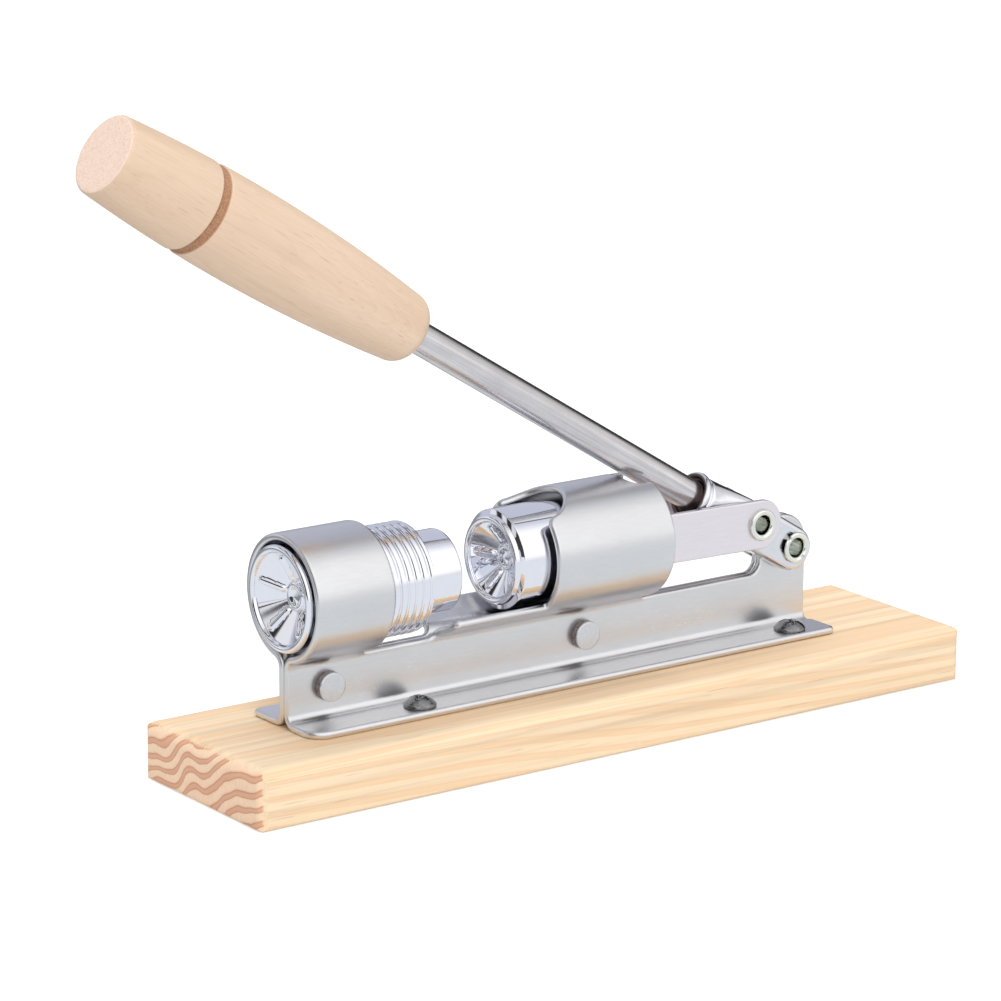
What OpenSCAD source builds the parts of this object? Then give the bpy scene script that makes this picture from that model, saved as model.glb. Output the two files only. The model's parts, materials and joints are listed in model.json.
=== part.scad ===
// Bench lever nutcracker on a wooden base.
// A folded sheet frame stands on the base and forms two tubes. A screwed anvil sits in the left
// tube and a ram slides in the right one. The lever turns on the frame's ears and draws the ram
// by two links.
// Sizes are in millimetres. +X runs along the base towards the lever pivot, +Z is up, and the
// origin is the centre of the base's underside.

/* [Wooden base] */
// Length of the base
board_l = 200; // [170:1:260]
// Width of the base
board_w = 48; // [40:1:80]
// Thickness of the base
board_h = 13.5; // [11:0.5:25]
// Radius of the base's upright corners
board_corner_r = 2.3; // [1:0.1:6]
// Radius of the soft edge round the top of the base
board_top_r = 3.2; // [1:0.1:5]
// Radius of the small edge round the underside
board_low_r = 0.9; // [0.3:0.1:2]

/* [Sheet frame] */
// Thickness of the frame's sheet
sheet_t = 1.8; // [1.2:0.1:2.4]
// Gap between the two legs where the sheet lies back to back
leg_gap = 0.2; // [0.1:0.05:0.4]
// Length of the frame
frame_l = 149.2; // [140:0.1:160]
// Distance from the middle of the base to the frame's left end
frame_reach = 78.7; // [74:0.1:84]
// Width over both flanges
flange_w = 24.8; // [22:0.1:30]
// Inside radius of the bend between leg and flange
bend_r = 1.8; // [1:0.1:3]
// Corner radius of the flanges at the anvil end
flange_left_r = 5; // [1:0.1:6]
// Corner radius of the flanges at the lever end
flange_right_r = 1.6; // [1:0.1:6]
// Height of the legs' open top edge above the base
leg_h = 15; // [14.6:0.1:16]
// Outside diameter of both tubes
tube_od = 29.3; // [27:0.1:32]
// Height of the tubes' axis above the base
tube_rise = 29.9; // [28:0.1:33]
// Length of the anvil's tube
anvil_tube_l = 20.5; // [16:0.1:26]
// Distance between the two tubes
mouth_l = 44.8; // [40:0.1:52]
// Length of the ram's tube
ram_tube_l = 33.4; // [28:0.1:38]
// Length of the low part of the trough next to the anvil's tube
trough_low_l = 19.6; // [14:0.1:24]
// Height of the trough's rim above the base
trough_h = 19.8; // [18:0.1:22]
// Radius of the trough's step
step_r = 2; // [1:0.1:2.4]
// Outside radius where a tube runs into the legs
neck_r = 2.2; // [1.5:0.1:3]
// Radius of the thumb cut-out in the ram's tube
thumb_r = 9.2; // [7:0.1:10]
// Radius of the two corners at the cut-out's mouth
thumb_corner_r = 2; // [1:0.1:2.5]
// Width of the notch that the rod drops into
rod_notch_w = 9.8; // [9:0.1:12]
// Length of the notch that the rod drops into
rod_notch_l = 6; // [5:0.1:7]
// Radius of the notch's inner corners
rod_notch_r = 3; // [1:0.1:3.4]
// Radius of the two corners at the notch's mouth
rod_notch_corner_r = 1.4; // [0.6:0.1:2]

/* [Lever] */
// Distance from the ram's tube to the lever pivot
pivot_reach = 42.4; // [40:0.1:46]
// Height of the lever pivot above the base
pivot_rise = 21.2; // [20:0.1:23]
// Outside radius of the ears round the lever pivot
ear_r = 7; // [6:0.1:7.5]
// Radius of the inner corner beside the ears
ear_corner_r = 3; // [1:0.1:5]
// Angle of the rod above the base at rest
lever_angle = 31.5; // [31:0.1:34]
// Distance between the lever pivot and the link pivot
crank_r = 14.2; // [13.5:0.1:16]
// Angle by which the link pivot leads the rod
crank_lead = 1.5; // [0:0.1:4]
// Distance by which the rod's axis passes under the lever pivot
rod_drop = 1.05; // [0.6:0.05:1.4]
// Diameter of the rod
rod_d = 7.5; // [6.5:0.1:8]
// Distance from the lever pivot to the rod's end inside the yoke
rod_start = 18; // [17.6:0.1:20]
// Length of the rod
rod_l = 140; // [120:1:150]

/* [Yoke] */
// Width of the yoke over its two cheeks
yoke_w = 12.8; // [12:0.1:14]
// Height of the yoke's cheeks
yoke_h = 10.8; // [10:0.1:12]
// Distance by which the cheeks' middle line passes under the lever pivot
yoke_drop = 0.5; // [0:0.1:1]
// Distance from the lever pivot to the end of the yoke's body
yoke_l = 29; // [27:0.1:33]
// Radius along the yoke's four long edges
yoke_edge_r = 1.6; // [0.8:0.1:2.4]
// Diameter of the yoke's round neck
yoke_neck_d = 11.2; // [10.6:0.1:12]
// Length over which the yoke's square body turns into the round neck
yoke_taper_l = 10; // [8:0.1:12]
// Clearance between an ear and the yoke's cheek
ear_clear = 0.3; // [0.2:0.05:0.6]
// Outside diameter of the collar round the rod
collar_d = 12; // [11.6:0.1:13]
// Thickness of the collar
collar_t = 1.9; // [1.2:0.1:2.6]
// Width of the groove behind the collar
collar_groove_w = 0.8; // [0.4:0.1:1]
// Depth of the groove behind the collar
collar_groove_depth = 0.5; // [0.3:0.1:0.8]
// Depth of the collar's hollow face
collar_hollow = 1.2; // [0.6:0.1:1.4]

/* [Handle] */
// Distance from the lever pivot to the handle's inner end
handle_start = 124.5; // [110:0.1:130]
// Length of the handle
handle_l = 91.1; // [80:0.1:110]
// Largest diameter of the handle
handle_d = 21.8; // [19:0.1:26]
// Distance from the handle's inner end to its thickest place
handle_belly = 52.3; // [45:0.1:60]
// Radius of the handle's long curve
handle_curve_r = 440; // [420:5:700]
// Radius round the handle's inner end
handle_nose_r = 4; // [2:0.1:4.5]
// Radius round the handle's free end
handle_end_r = 0.8; // [0.4:0.1:2]
// Distance from the free end to the middle of the groove
groove_reach = 25.6; // [20:0.1:36]
// Width of the groove round the handle
groove_w = 2.4; // [2:0.1:4]
// Depth of the groove round the handle
groove_depth = 0.9; // [0.5:0.1:1.5]

/* [Links and eyelets] */
// Distance between a link's two pivots
link_l = 45.5; // [44:0.1:47]
// Width of a link
link_w = 11.8; // [11:0.1:12.4]
// Thickness of a link
link_t = 1.5; // [1:0.1:1.6]
// Gap between a link and the yoke's cheek
link_gap = 0.3; // [0.2:0.05:0.5]
// Outside diameter of an eyelet's shank
eyelet_d = 5.4; // [5:0.1:5.8]
// Bore of an eyelet
eyelet_bore = 4.2; // [3.8:0.1:4.4]
// Diameter of an eyelet's rolled head
eyelet_head_d = 7.6; // [7.2:0.1:8]
// Height of an eyelet's rolled head
eyelet_head_h = 0.9; // [0.6:0.1:1]
// Running clearance between a pivot and its hole, on the radius
pivot_clear = 0.08; // [0.05:0.01:0.1]

/* [Ram] */
// Clearance between the ram and its tube, on the radius
ram_clear = 0.3; // [0.2:0.05:0.5]
// Distance by which the ram's rim stands out of the tube at rest
ram_proud = 9.2; // [9:0.1:12]
// Diameter of the ram's cupped rim
ram_rim_d = 20.8; // [20:0.1:22]
// Length of the ram's rim
ram_rim_l = 1.2; // [1:0.1:2]
// Length of the cone behind the rim
ram_cone_l = 0.7; // [0.4:0.1:2]
// Distance from the rim to the flats between the links
ram_body_l = 19.9; // [19:0.1:21]
// Distance from the ram's pin to the end of the flats
ram_tail_l = 8; // [7.6:0.1:9]
// Free travel of the pin in the ram, on the radius
ram_pin_play = 3.1; // [3.1:0.1:3.6]
// Width of the rounded lip round the cup in the ram
ram_cup_lip = 1.7; // [1:0.1:2]
// Depth of the cup in the ram
ram_cup_depth = 4.6; // [4.4:0.1:6]
// Diameter of the flat floor of the cup in the ram
ram_cup_floor_d = 6; // [5.8:0.1:7]
// Angle by which the ribs in the ram's cup are turned
ram_rib_turn = 21; // [0:1:72]

/* [Anvil] */
// Distance by which the anvil's cupped rim stands out of its tube
anvil_proud = 1.1; // [0.4:0.1:2]
// Length of the anvil's screw
anvil_l = 33.4; // [30:0.1:37]
// Pitch of the screw
thread_pitch = 2; // [1.5:0.1:2.5]
// Depth of the screw's thread
thread_depth = 0.8; // [0.5:0.05:1]
// Clearance between the screw and its tube, on the radius
thread_clear = 0.1; // [0.05:0.01:0.1]
// Clearance between the plain rim before the thread and the tube, on the radius
anvil_rim_clear = 0.65; // [0.3:0.05:0.9]
// Length of the plain rim before the thread
anvil_rim_l = 3.4; // [2.6:0.1:4.4]
// Diameter of the anvil's nose
nose_d = 19.2; // [17:0.1:21]
// Length of the nose in front of the screw
nose_l = 9.9; // [8:0.1:12]
// Diameter of the spigot that carries the nose in the screw
spigot_d = 10; // [8:0.1:12]
// Length of the spigot
spigot_l = 12; // [10:0.1:14]
// Width of the rounded lip round the cup in the anvil's rim
anvil_cup_lip = 1.8; // [1:0.1:2]
// Depth of the cup in the anvil's rim
anvil_cup_depth = 4.7; // [4.4:0.1:6]
// Diameter of the flat floor of the cup in the anvil's rim
anvil_cup_floor_d = 6.4; // [5.8:0.1:8]
// Angle by which the ribs in the anvil's cup are turned
anvil_rib_turn = 33; // [0:1:72]
// Width of the rounded lip round the cup in the nose
nose_cup_lip = 1.6; // [1:0.1:2]
// Depth of the cup in the nose
nose_cup_depth = 4.6; // [4.4:0.1:5]
// Diameter of the flat floor of the cup in the nose
nose_cup_floor_d = 6; // [5.8:0.1:7]

/* [Ribs in the cups] */
// Number of ribs in each cup
rib_count = 5; // [3:1:8]
// Radius of a rib
rib_r = 0.85; // [0.6:0.05:0.9]

/* [Rivets and screws] */
// Diameter of a rivet's shank
rivet_d = 4.6; // [4:0.1:5]
// Diameter of a rivet's head
rivet_head_d = 6.8; // [6:0.1:7.4]
// Height of a rivet's head
rivet_head_h = 2; // [1.2:0.1:2.4]
// Distance from the frame's left end to the front rivet
front_rivet_x = 10.9; // [9:0.1:14]
// Distance from the frame's left end to the middle rivet
middle_rivet_x = 81.7; // [76:0.1:88]
// Height of the rivets above the base
rivet_rise = 8.7; // [8:0.1:10]
// Distance from the frame's left end to the front screws
front_screw_x = 31.6; // [26:0.1:36]
// Distance from the frame's right end to the rear screws
rear_screw_x = 10.5; // [6:0.1:16]
// Distance between the screws on both flanges
screw_span = 15.4; // [15.2:0.1:16.6]
// Diameter of a screw's shank
screw_d = 3.6; // [3:0.1:4]
// Diameter of a screw's head
screw_head_d = 7.5; // [6.8:0.1:7.6]
// Height of a screw's head
screw_head_h = 2.5; // [2:0.1:2.8]
// Length of a screw below its head
screw_l = 12; // [9:0.5:12.5]
// Clearance between a screw or rivet and its hole, on the radius
fastener_clear = 0.05; // [0.02:0.01:0.1]

/* [Hidden] */
$fn = 96;
// Number of sides that a very large circle is drawn with
large_fn = 1440;
// Overrun of every cut past the face that it starts from
over = 1;

// Places along X
frame_x0 = -frame_reach;
frame_x1 = frame_x0 + frame_l;
anvil_tube_x1 = frame_x0 + anvil_tube_l;
ram_tube_x0 = anvil_tube_x1 + mouth_l;
ram_tube_x1 = ram_tube_x0 + ram_tube_l;
trough_x0 = anvil_tube_x1 + trough_low_l;
pivot_x = ram_tube_x1 + pivot_reach;
leg_x1 = pivot_x + ear_r;

// Heights
tube_z = board_h + tube_rise;
leg_z = board_h + leg_h;
trough_z = board_h + trough_h;
pivot_z = board_h + pivot_rise;
rivet_z = board_h + rivet_rise;

// Frame section
tube_r = tube_od / 2;
tube_inner_r = tube_r - sheet_t;
leg_y0 = leg_gap / 2;
leg_y1 = leg_y0 + sheet_t;
flange_y = flange_w / 2;
bend_y = leg_y1 + bend_r;
bend_z = board_h + sheet_t + bend_r;
neck_y = leg_y1 + neck_r;
neck_z = tube_z - sqrt(pow(tube_r + neck_r, 2) - pow(neck_y, 2));

// Pivots
link_pin_x = pivot_x - crank_r * cos(lever_angle + crank_lead);
link_pin_z = pivot_z + crank_r * sin(lever_angle + crank_lead);
link_fall = link_pin_z - tube_z;
ram_pin_x = link_pin_x - sqrt(pow(link_l, 2) - pow(link_fall, 2));
link_tilt = asin(link_fall / link_l);
link_y0 = yoke_w / 2 + link_gap;
link_y1 = link_y0 + link_t;
pivot_hole_r = eyelet_d / 2 + pivot_clear;

// Ram
ram_r = tube_inner_r - ram_clear;
ram_x0 = ram_tube_x0 - ram_proud;
ram_flat_x = ram_x0 + ram_body_l;

// Anvil
anvil_x0 = frame_x0 - anvil_proud;
anvil_x1 = anvil_x0 + anvil_l;
thread_r = tube_inner_r - thread_clear;
thread_core_r = thread_r - thread_depth;
anvil_rim_r = tube_inner_r - anvil_rim_clear;
thread_l = anvil_l - anvil_rim_l;
thread_count = floor(thread_l / thread_pitch);

// Flat shape with its base on the axis and its own radii at the foot and at the top
module soft_profile(width, height, low_r, top_r) {
    difference() {
        translate([-width / 2, 0]) square([width, height]);
        for (side = [-1, 1]) scale([side, 1]) {
            difference() {
                translate([width / 2 - low_r, -over]) square([low_r + over, low_r + over]);
                translate([width / 2 - low_r, low_r]) circle(low_r);
            }
            difference() {
                translate([width / 2 - top_r, height - top_r]) square([top_r + over, top_r + over]);
                translate([width / 2 - top_r, height - top_r]) circle(top_r);
            }
        }
    }
}

// Puts a flat shape drawn in Y and Z upright and runs it along X
module along_x(x0, x1) {
    translate([x0, 0, 0]) rotate([90, 0, 90]) linear_extrude(x1 - x0) children();
}

// Puts a flat shape drawn in X and Z upright and runs it along Y
module along_y(y0, y1) {
    translate([0, y1, 0]) rotate([90, 0, 0]) linear_extrude(y1 - y0) children();
}

// Places a piece that is turned about X
module on_x(x) {
    translate([x, 0, tube_z]) rotate([0, 90, 0]) children();
}

// Places a piece drawn along the lever, with the rod's direction as X and the pivot as origin
module on_lever() {
    translate([pivot_x, 0, pivot_z]) rotate([0, -lever_angle, 180]) children();
}

// Pin across the machine
module cross_pin(x, z, r, y0, y1) {
    translate([x, y1, z]) rotate([90, 0, 0]) cylinder(y1 - y0, r, r);
}

// The four screw places
function screw_x(i) = i < 2 ? frame_x0 + front_screw_x : frame_x1 - rear_screw_x;
function screw_y(i) = (i % 2 == 0 ? -1 : 1) * screw_span / 2;

module base_board() {
    hole_r = screw_d / 2;
    color("burlywood") difference() {
        intersection() {
            linear_extrude(board_h) translate([0, -board_w / 2])
                soft_profile(board_l, board_w, board_corner_r, board_corner_r);
            along_y(-board_w, board_w) soft_profile(board_l, board_h, board_low_r, board_top_r);
            along_x(-board_l, board_l) soft_profile(board_w, board_h, board_low_r, board_top_r);
        }
        for (i = [0 : 3]) translate([screw_x(i), screw_y(i), board_h - screw_l + sheet_t])
            cylinder(screw_l, hole_r, hole_r);
    }
}

// Bend and flange at the foot of one leg, on the +Y side
module foot_profile() {
    difference() {
        intersection() {
            translate([bend_y, bend_z]) circle(bend_r + sheet_t);
            translate([leg_y0, board_h]) square([bend_y - leg_y0, bend_z - board_h]);
        }
        translate([bend_y, bend_z]) circle(bend_r);
    }
    translate([bend_y, board_h]) square([flange_y - bend_y, sheet_t]);
}

// Plan of both flanges, with the rounded corners
module flange_plan() {
    difference() {
        translate([frame_x0, -flange_y]) square([frame_l, flange_w]);
        for (side = [-1, 1]) scale([1, side]) {
            difference() {
                translate([frame_x0 - over, flange_y - flange_left_r])
                    square([flange_left_r + over, flange_left_r + over]);
                translate([frame_x0 + flange_left_r, flange_y - flange_left_r])
                    circle(flange_left_r);
            }
            difference() {
                translate([frame_x1 - flange_right_r, flange_y - flange_right_r])
                    square([flange_right_r + over, flange_right_r + over]);
                translate([frame_x1 - flange_right_r, flange_y - flange_right_r])
                    circle(flange_right_r);
            }
        }
    }
}

// Section of the sheet through a tube, from the tops of the bends upwards
module tube_section() {
    difference() {
        translate([0, tube_z]) circle(tube_r);
        translate([0, tube_z]) circle(tube_inner_r);
        polygon([[0, tube_z], [neck_y, neck_z], [-neck_y, neck_z]]);
    }
    for (side = [-1, 1]) scale([side, 1]) {
        intersection() {
            difference() {
                translate([neck_y, neck_z]) circle(neck_r + sheet_t);
                translate([neck_y, neck_z]) circle(neck_r);
            }
            polygon([[0, tube_z], [neck_y, neck_z], [0, neck_z]]);
        }
        translate([leg_y0, bend_z]) square([sheet_t, neck_z - bend_z]);
    }
}

// Side view of what is cut away above the trough, between the two tubes
module mouth_side() {
    difference() {
        translate([anvil_tube_x1, leg_z]) square([mouth_l, tube_z + tube_od - leg_z]);
        difference() {
            translate([trough_x0, leg_z - over])
                square([mouth_l, trough_z - leg_z + over]);
            difference() {
                translate([trough_x0 - over, trough_z - step_r])
                    square([step_r + over, step_r + over]);
                translate([trough_x0 + step_r, trough_z - step_r]) circle(step_r);
            }
        }
        difference() {
            translate([trough_x0 - step_r, leg_z - over]) square([step_r + over, step_r + over]);
            translate([trough_x0 - step_r, leg_z + step_r]) circle(step_r);
        }
    }
}

// Side view of a leg from the end of the ram's tube to the ear
module rear_leg_side() {
    translate([ram_tube_x1, bend_z]) square([leg_x1 - ram_tube_x1, leg_z - bend_z]);
    translate([pivot_x, pivot_z]) circle(ear_r);
    translate([pivot_x - ear_r, bend_z]) square([2 * ear_r, pivot_z - bend_z]);
    difference() {
        translate([pivot_x - ear_r - ear_corner_r, leg_z - over])
            square([ear_corner_r + over, ear_corner_r + over]);
        translate([pivot_x - ear_r - ear_corner_r, leg_z + ear_corner_r]) circle(ear_corner_r);
    }
}

// Plan of the two rounded corners of a cut that is open at an end of a tube
module mouth_corners(half_w, corner_r, depth) {
    for (side = [-1, 1]) scale([1, side]) difference() {
        translate([-over, 0]) square([depth + over, half_w + corner_r]);
        translate([corner_r, half_w + corner_r]) circle(corner_r);
        translate([corner_r, half_w]) square([depth, corner_r]);
    }
}

// Plan of the round cut-out for the thumb, open towards the nut
module thumb_plan() {
    reach = thumb_r + thumb_corner_r;
    half_w = sqrt(pow(reach, 2) - pow(thumb_corner_r, 2)) - thumb_corner_r;
    translate([ram_tube_x0, 0]) {
        circle(thumb_r);
        mouth_corners(half_w, thumb_corner_r, thumb_corner_r);
    }
}

// Plan of the notch for the rod, open towards the lever
module rod_notch_plan() {
    half_w = rod_notch_w / 2;
    translate([ram_tube_x1, 0]) scale([-1, 1]) {
        difference() {
            mouth_corners(half_w, rod_notch_corner_r, rod_notch_l);
            for (side = [-1, 1]) scale([1, side])
                translate([rod_notch_l - rod_notch_r, half_w - rod_notch_r])
                    square([rod_notch_r + over, rod_notch_r + over]);
        }
        for (side = [-1, 1]) translate([rod_notch_l - rod_notch_r, side * (half_w - rod_notch_r)])
            circle(rod_notch_r);
    }
}

module frame_shell() {
    rivet_hole_r = rivet_d / 2 + fastener_clear;
    screw_hole_r = screw_d / 2 + fastener_clear;
    color("silver") difference() {
        union() {
            intersection() {
                union() for (side = [-1, 1]) scale([1, side, 1])
                    along_x(frame_x0, frame_x1) foot_profile();
                linear_extrude(bend_z) flange_plan();
            }
            difference() {
                along_x(frame_x0, ram_tube_x1) tube_section();
                along_y(-tube_od, tube_od) mouth_side();
            }
            for (side = [-1, 1]) scale([1, side, 1]) along_y(leg_y0, leg_y1) rear_leg_side();
        }
        translate([0, 0, tube_z]) linear_extrude(tube_od) thumb_plan();
        translate([0, 0, tube_z]) linear_extrude(tube_od) rod_notch_plan();
        for (x = [front_rivet_x, middle_rivet_x])
            cross_pin(frame_x0 + x, rivet_z, rivet_hole_r, -tube_r, tube_r);
        cross_pin(pivot_x, pivot_z, pivot_hole_r, -tube_r, tube_r);
        for (i = [0 : 3]) translate([screw_x(i), screw_y(i), 0])
            cylinder(tube_z, screw_hole_r, screw_hole_r);
    }
}

// Rivet through both legs, with a flat head on each side
module rivet(x) {
    edge_r = rivet_head_h / 4;
    head_r = rivet_head_d / 2;
    translate([frame_x0 + x, 0, rivet_z]) rotate([90, 0, 0]) {
        translate([0, 0, -leg_y1]) cylinder(2 * leg_y1, rivet_d / 2, rivet_d / 2);
        for (side = [-1, 1]) scale([1, 1, side]) translate([0, 0, leg_y1]) rotate_extrude() {
            square([head_r, rivet_head_h - edge_r]);
            square([head_r - edge_r, rivet_head_h]);
            translate([head_r - edge_r, rivet_head_h - edge_r]) circle(edge_r);
        }
    }
}

module front_rivet() {
    color("lightgray") rivet(front_rivet_x);
}

module middle_rivet() {
    color("lightgray") rivet(middle_rivet_x);
}

// Wood screw with a domed head and a cross recess
module base_screw(i) {
    dome_r = (pow(screw_head_d / 2, 2) + pow(screw_head_h, 2)) / (2 * screw_head_h);
    recess_w = screw_head_d / 6;
    recess_l = screw_head_d / 2;
    recess_depth = screw_head_h / 2;
    tip_l = screw_d;
    color("dimgray") translate([screw_x(i), screw_y(i), board_h + sheet_t]) difference() {
        union() {
            intersection() {
                cylinder(screw_head_h, screw_head_d / 2, screw_head_d / 2);
                translate([0, 0, screw_head_h - dome_r]) sphere(dome_r);
            }
            translate([0, 0, tip_l - screw_l]) cylinder(screw_l - tip_l, screw_d / 2, screw_d / 2);
            translate([0, 0, -screw_l]) cylinder(tip_l, 0, screw_d / 2);
        }
        for (turn = [0, 90]) rotate([0, 0, turn])
            translate([-recess_l / 2, -recess_w / 2, screw_head_h - recess_depth])
                cube([recess_l, recess_w, screw_head_h]);
    }
}

// Ribs on the cone of a cup that opens towards -Z
module cup_ribs(mouth_r, lip_r, depth, floor_r) {
    inner_r = floor_r + rib_r;
    outer_r = mouth_r - 2 * rib_r;
    slope = (depth - lip_r) / (mouth_r - floor_r);
    rib_l = norm([outer_r - inner_r, slope * (outer_r - inner_r)]);
    for (i = [0 : rib_count - 1]) rotate([0, 0, i * 360 / rib_count])
        translate([inner_r, 0, lip_r + slope * (mouth_r - inner_r)]) rotate([0, 90 + atan(slope), 0]) {
            cylinder(rib_l, rib_r, rib_r);
            sphere(rib_r);
            translate([0, 0, rib_l]) sphere(rib_r);
        }
}

// Cuts a ribbed cup with a rounded lip into a turned piece whose rim starts at Z = 0
module cupped(rim_r, lip, depth, floor_r, turn) {
    mouth_r = rim_r - lip;
    lip_r = lip / 2;
    difference() {
        union() {
            children();
            translate([0, 0, lip_r]) rotate_extrude() translate([rim_r - lip_r, 0]) circle(lip_r);
        }
        translate([0, 0, lip_r]) cylinder(depth - lip_r, mouth_r, floor_r);
    }
    rotate([0, 0, turn]) cup_ribs(mouth_r, lip_r, depth, floor_r);
}

// Screw with the large cup, drawn with rings for its thread
module anvil_screw() {
    flank = thread_pitch / 6;
    crest = thread_pitch / 3;
    bore_r = spigot_d / 2 + pivot_clear;
    lip_r = anvil_cup_lip / 2;
    color("gainsboro") on_x(anvil_x0) difference() {
        cupped(anvil_rim_r, anvil_cup_lip, anvil_cup_depth, anvil_cup_floor_d / 2, anvil_rib_turn) union() {
            translate([0, 0, lip_r]) cylinder(anvil_l - lip_r, thread_core_r, thread_core_r);
            translate([0, 0, lip_r]) cylinder(anvil_rim_l - lip_r, anvil_rim_r, anvil_rim_r);
            rotate_extrude() for (i = [1 : thread_count])
                translate([0, anvil_rim_l + i * thread_pitch - flank])
                    polygon([
                        [thread_core_r - thread_depth, -crest - flank],
                        [thread_core_r, -crest - flank], [thread_r, -crest],
                        [thread_r, 0], [thread_core_r, flank],
                        [thread_core_r - thread_depth, flank]
                    ]);
        }
        translate([0, 0, anvil_l - spigot_l]) cylinder(spigot_l + over, bore_r, bore_r);
    }
}

// Nose that turns on its spigot in the screw and meets the nut
module anvil_nose() {
    tip_x = anvil_x1 + nose_l;
    lip_r = nose_cup_lip / 2;
    color("gainsboro") translate([tip_x, 0, tube_z]) rotate([0, -90, 0])
        cupped(nose_d / 2, nose_cup_lip, nose_cup_depth, nose_cup_floor_d / 2, ram_rib_turn) union() {
            translate([0, 0, lip_r]) cylinder(nose_l - lip_r, nose_d / 2, nose_d / 2);
            translate([0, 0, nose_l - lip_r]) cylinder(lip_r + spigot_l - over, spigot_d / 2, spigot_d / 2);
        }
}

// Ram with a ribbed cup in front and a flat tail between the links
module ram() {
    tail_x = ram_pin_x + ram_tail_l;
    ram_l = tail_x - ram_x0;
    cone_z = ram_rim_l + ram_cone_l;
    rim_r = ram_rim_d / 2;
    lip_r = ram_cup_lip / 2;
    color("gainsboro") difference() {
        on_x(ram_x0) cupped(rim_r, ram_cup_lip, ram_cup_depth, ram_cup_floor_d / 2, ram_rib_turn) union() {
            translate([0, 0, lip_r]) cylinder(cone_z - lip_r, rim_r, rim_r);
            translate([0, 0, ram_rim_l]) cylinder(ram_cone_l, rim_r, ram_r);
            translate([0, 0, cone_z]) cylinder(ram_l - cone_z, ram_r, ram_r);
        }
        for (side = [-1, 1]) scale([1, side, 1])
            translate([ram_flat_x, yoke_w / 2, tube_z - tube_r]) cube([ram_l, tube_r, tube_od]);
        cross_pin(ram_pin_x, tube_z, eyelet_d / 2 + ram_pin_play, -tube_r, tube_r);
    }
}

// Hollow rivet across the machine, with a rolled head outside each face
module eyelet(x, z, half_w) {
    head_r = eyelet_head_d / 2;
    roll_r = eyelet_head_h / 2;
    bore_r = eyelet_bore / 2;
    translate([x, 0, z]) rotate([90, 0, 0]) rotate_extrude() {
        translate([bore_r, -half_w]) square([(eyelet_d - eyelet_bore) / 2, 2 * half_w]);
        for (side = [-1, 1]) translate([0, side * (half_w + roll_r)]) {
            translate([bore_r + roll_r, -roll_r]) square([head_r - bore_r - 2 * roll_r, 2 * roll_r]);
            translate([bore_r + roll_r, 0]) circle(roll_r);
            translate([head_r - roll_r, 0]) circle(roll_r);
        }
    }
}

module ram_pin() {
    color("lightgray") eyelet(ram_pin_x, tube_z, link_y1);
}

module link_eyelet() {
    color("lightgray") eyelet(link_pin_x, link_pin_z, link_y1);
}

module pivot_eyelet() {
    color("lightgray") eyelet(pivot_x, pivot_z, yoke_w / 2);
}

// Flat bar with round ends and a hole at each end
module link() {
    hole_r = eyelet_d / 2;
    translate([ram_pin_x, 0, tube_z]) rotate([0, -link_tilt, 0]) along_y(link_y0, link_y1)
        difference() {
            union() {
                translate([0, -link_w / 2]) square([link_l, link_w]);
                for (x = [0, link_l]) translate([x, 0]) circle(link_w / 2);
            }
            for (x = [0, link_l]) translate([x, 0]) circle(hole_r);
        }
}

module link_near() {
    color("silver") mirror([0, 1, 0]) link();
}

module link_far() {
    color("silver") link();
}

// Side view of the yoke's square body, with the pivot as origin
module yoke_side() {
    tail_r = yoke_h / 2;
    translate([0, -yoke_drop]) circle(tail_r);
    translate([0, -yoke_drop - tail_r]) square([yoke_l, yoke_h]);
}

// Places a piece that is turned about the rod's axis
module on_rod(x) {
    translate([x, 0, -rod_drop]) rotate([0, 90, 0]) children();
}

// Clevis with the rod's socket, its round neck and its collar
module lever_yoke() {
    slot_y = leg_y1 + ear_clear;
    slot_x = ear_r + 2 * ear_clear;
    neck_r = yoke_neck_d / 2;
    groove_r = neck_r - collar_groove_depth;
    body_r = norm([yoke_w / 2, yoke_h / 2 + rod_drop]);
    taper_x = yoke_l - yoke_taper_l;
    collar_x = yoke_l + collar_groove_w;
    roll_r = collar_t / 2;
    link_pin = [crank_r * cos(crank_lead), 0, crank_r * sin(crank_lead)];
    color("silver") on_lever() difference() {
        union() {
            intersection() {
                along_y(-yoke_w, yoke_w) yoke_side();
                along_x(-yoke_h, yoke_l) translate([0, -yoke_drop - yoke_h / 2])
                    soft_profile(yoke_w, yoke_h, yoke_edge_r, yoke_edge_r);
                union() {
                    on_rod(-yoke_h) cylinder(yoke_h + taper_x, body_r, body_r);
                    on_rod(taper_x) cylinder(yoke_taper_l, body_r, neck_r);
                }
            }
            on_rod(taper_x) cylinder(yoke_taper_l / 2, yoke_h / 2 - rod_drop, neck_r);
            on_rod(taper_x + yoke_taper_l / 2) cylinder(yoke_taper_l / 2, neck_r, neck_r);
            on_rod(taper_x) cylinder(yoke_taper_l + collar_groove_w + roll_r, groove_r, groove_r);
            on_rod(collar_x) rotate_extrude() {
                square([collar_d / 2 - roll_r, collar_t]);
                translate([collar_d / 2 - roll_r, roll_r]) circle(roll_r);
            }
        }
        translate([-yoke_h, -slot_y, -yoke_w]) cube([yoke_h + slot_x, 2 * slot_y, 2 * yoke_w]);
        cross_pin(0, 0, pivot_hole_r, -yoke_w, yoke_w);
        translate(link_pin) cross_pin(0, 0, pivot_hole_r, -yoke_w, yoke_w);
        on_rod(rod_start) cylinder(yoke_l, rod_d / 2, rod_d / 2);
        on_rod(collar_x + collar_t - collar_hollow)
            cylinder(collar_hollow + over, rod_d / 2, collar_d / 2 - roll_r / 2);
    }
}

module lever_rod() {
    color("darkgray") on_lever() on_rod(rod_start) cylinder(rod_l, rod_d / 2, rod_d / 2);
}

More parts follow.
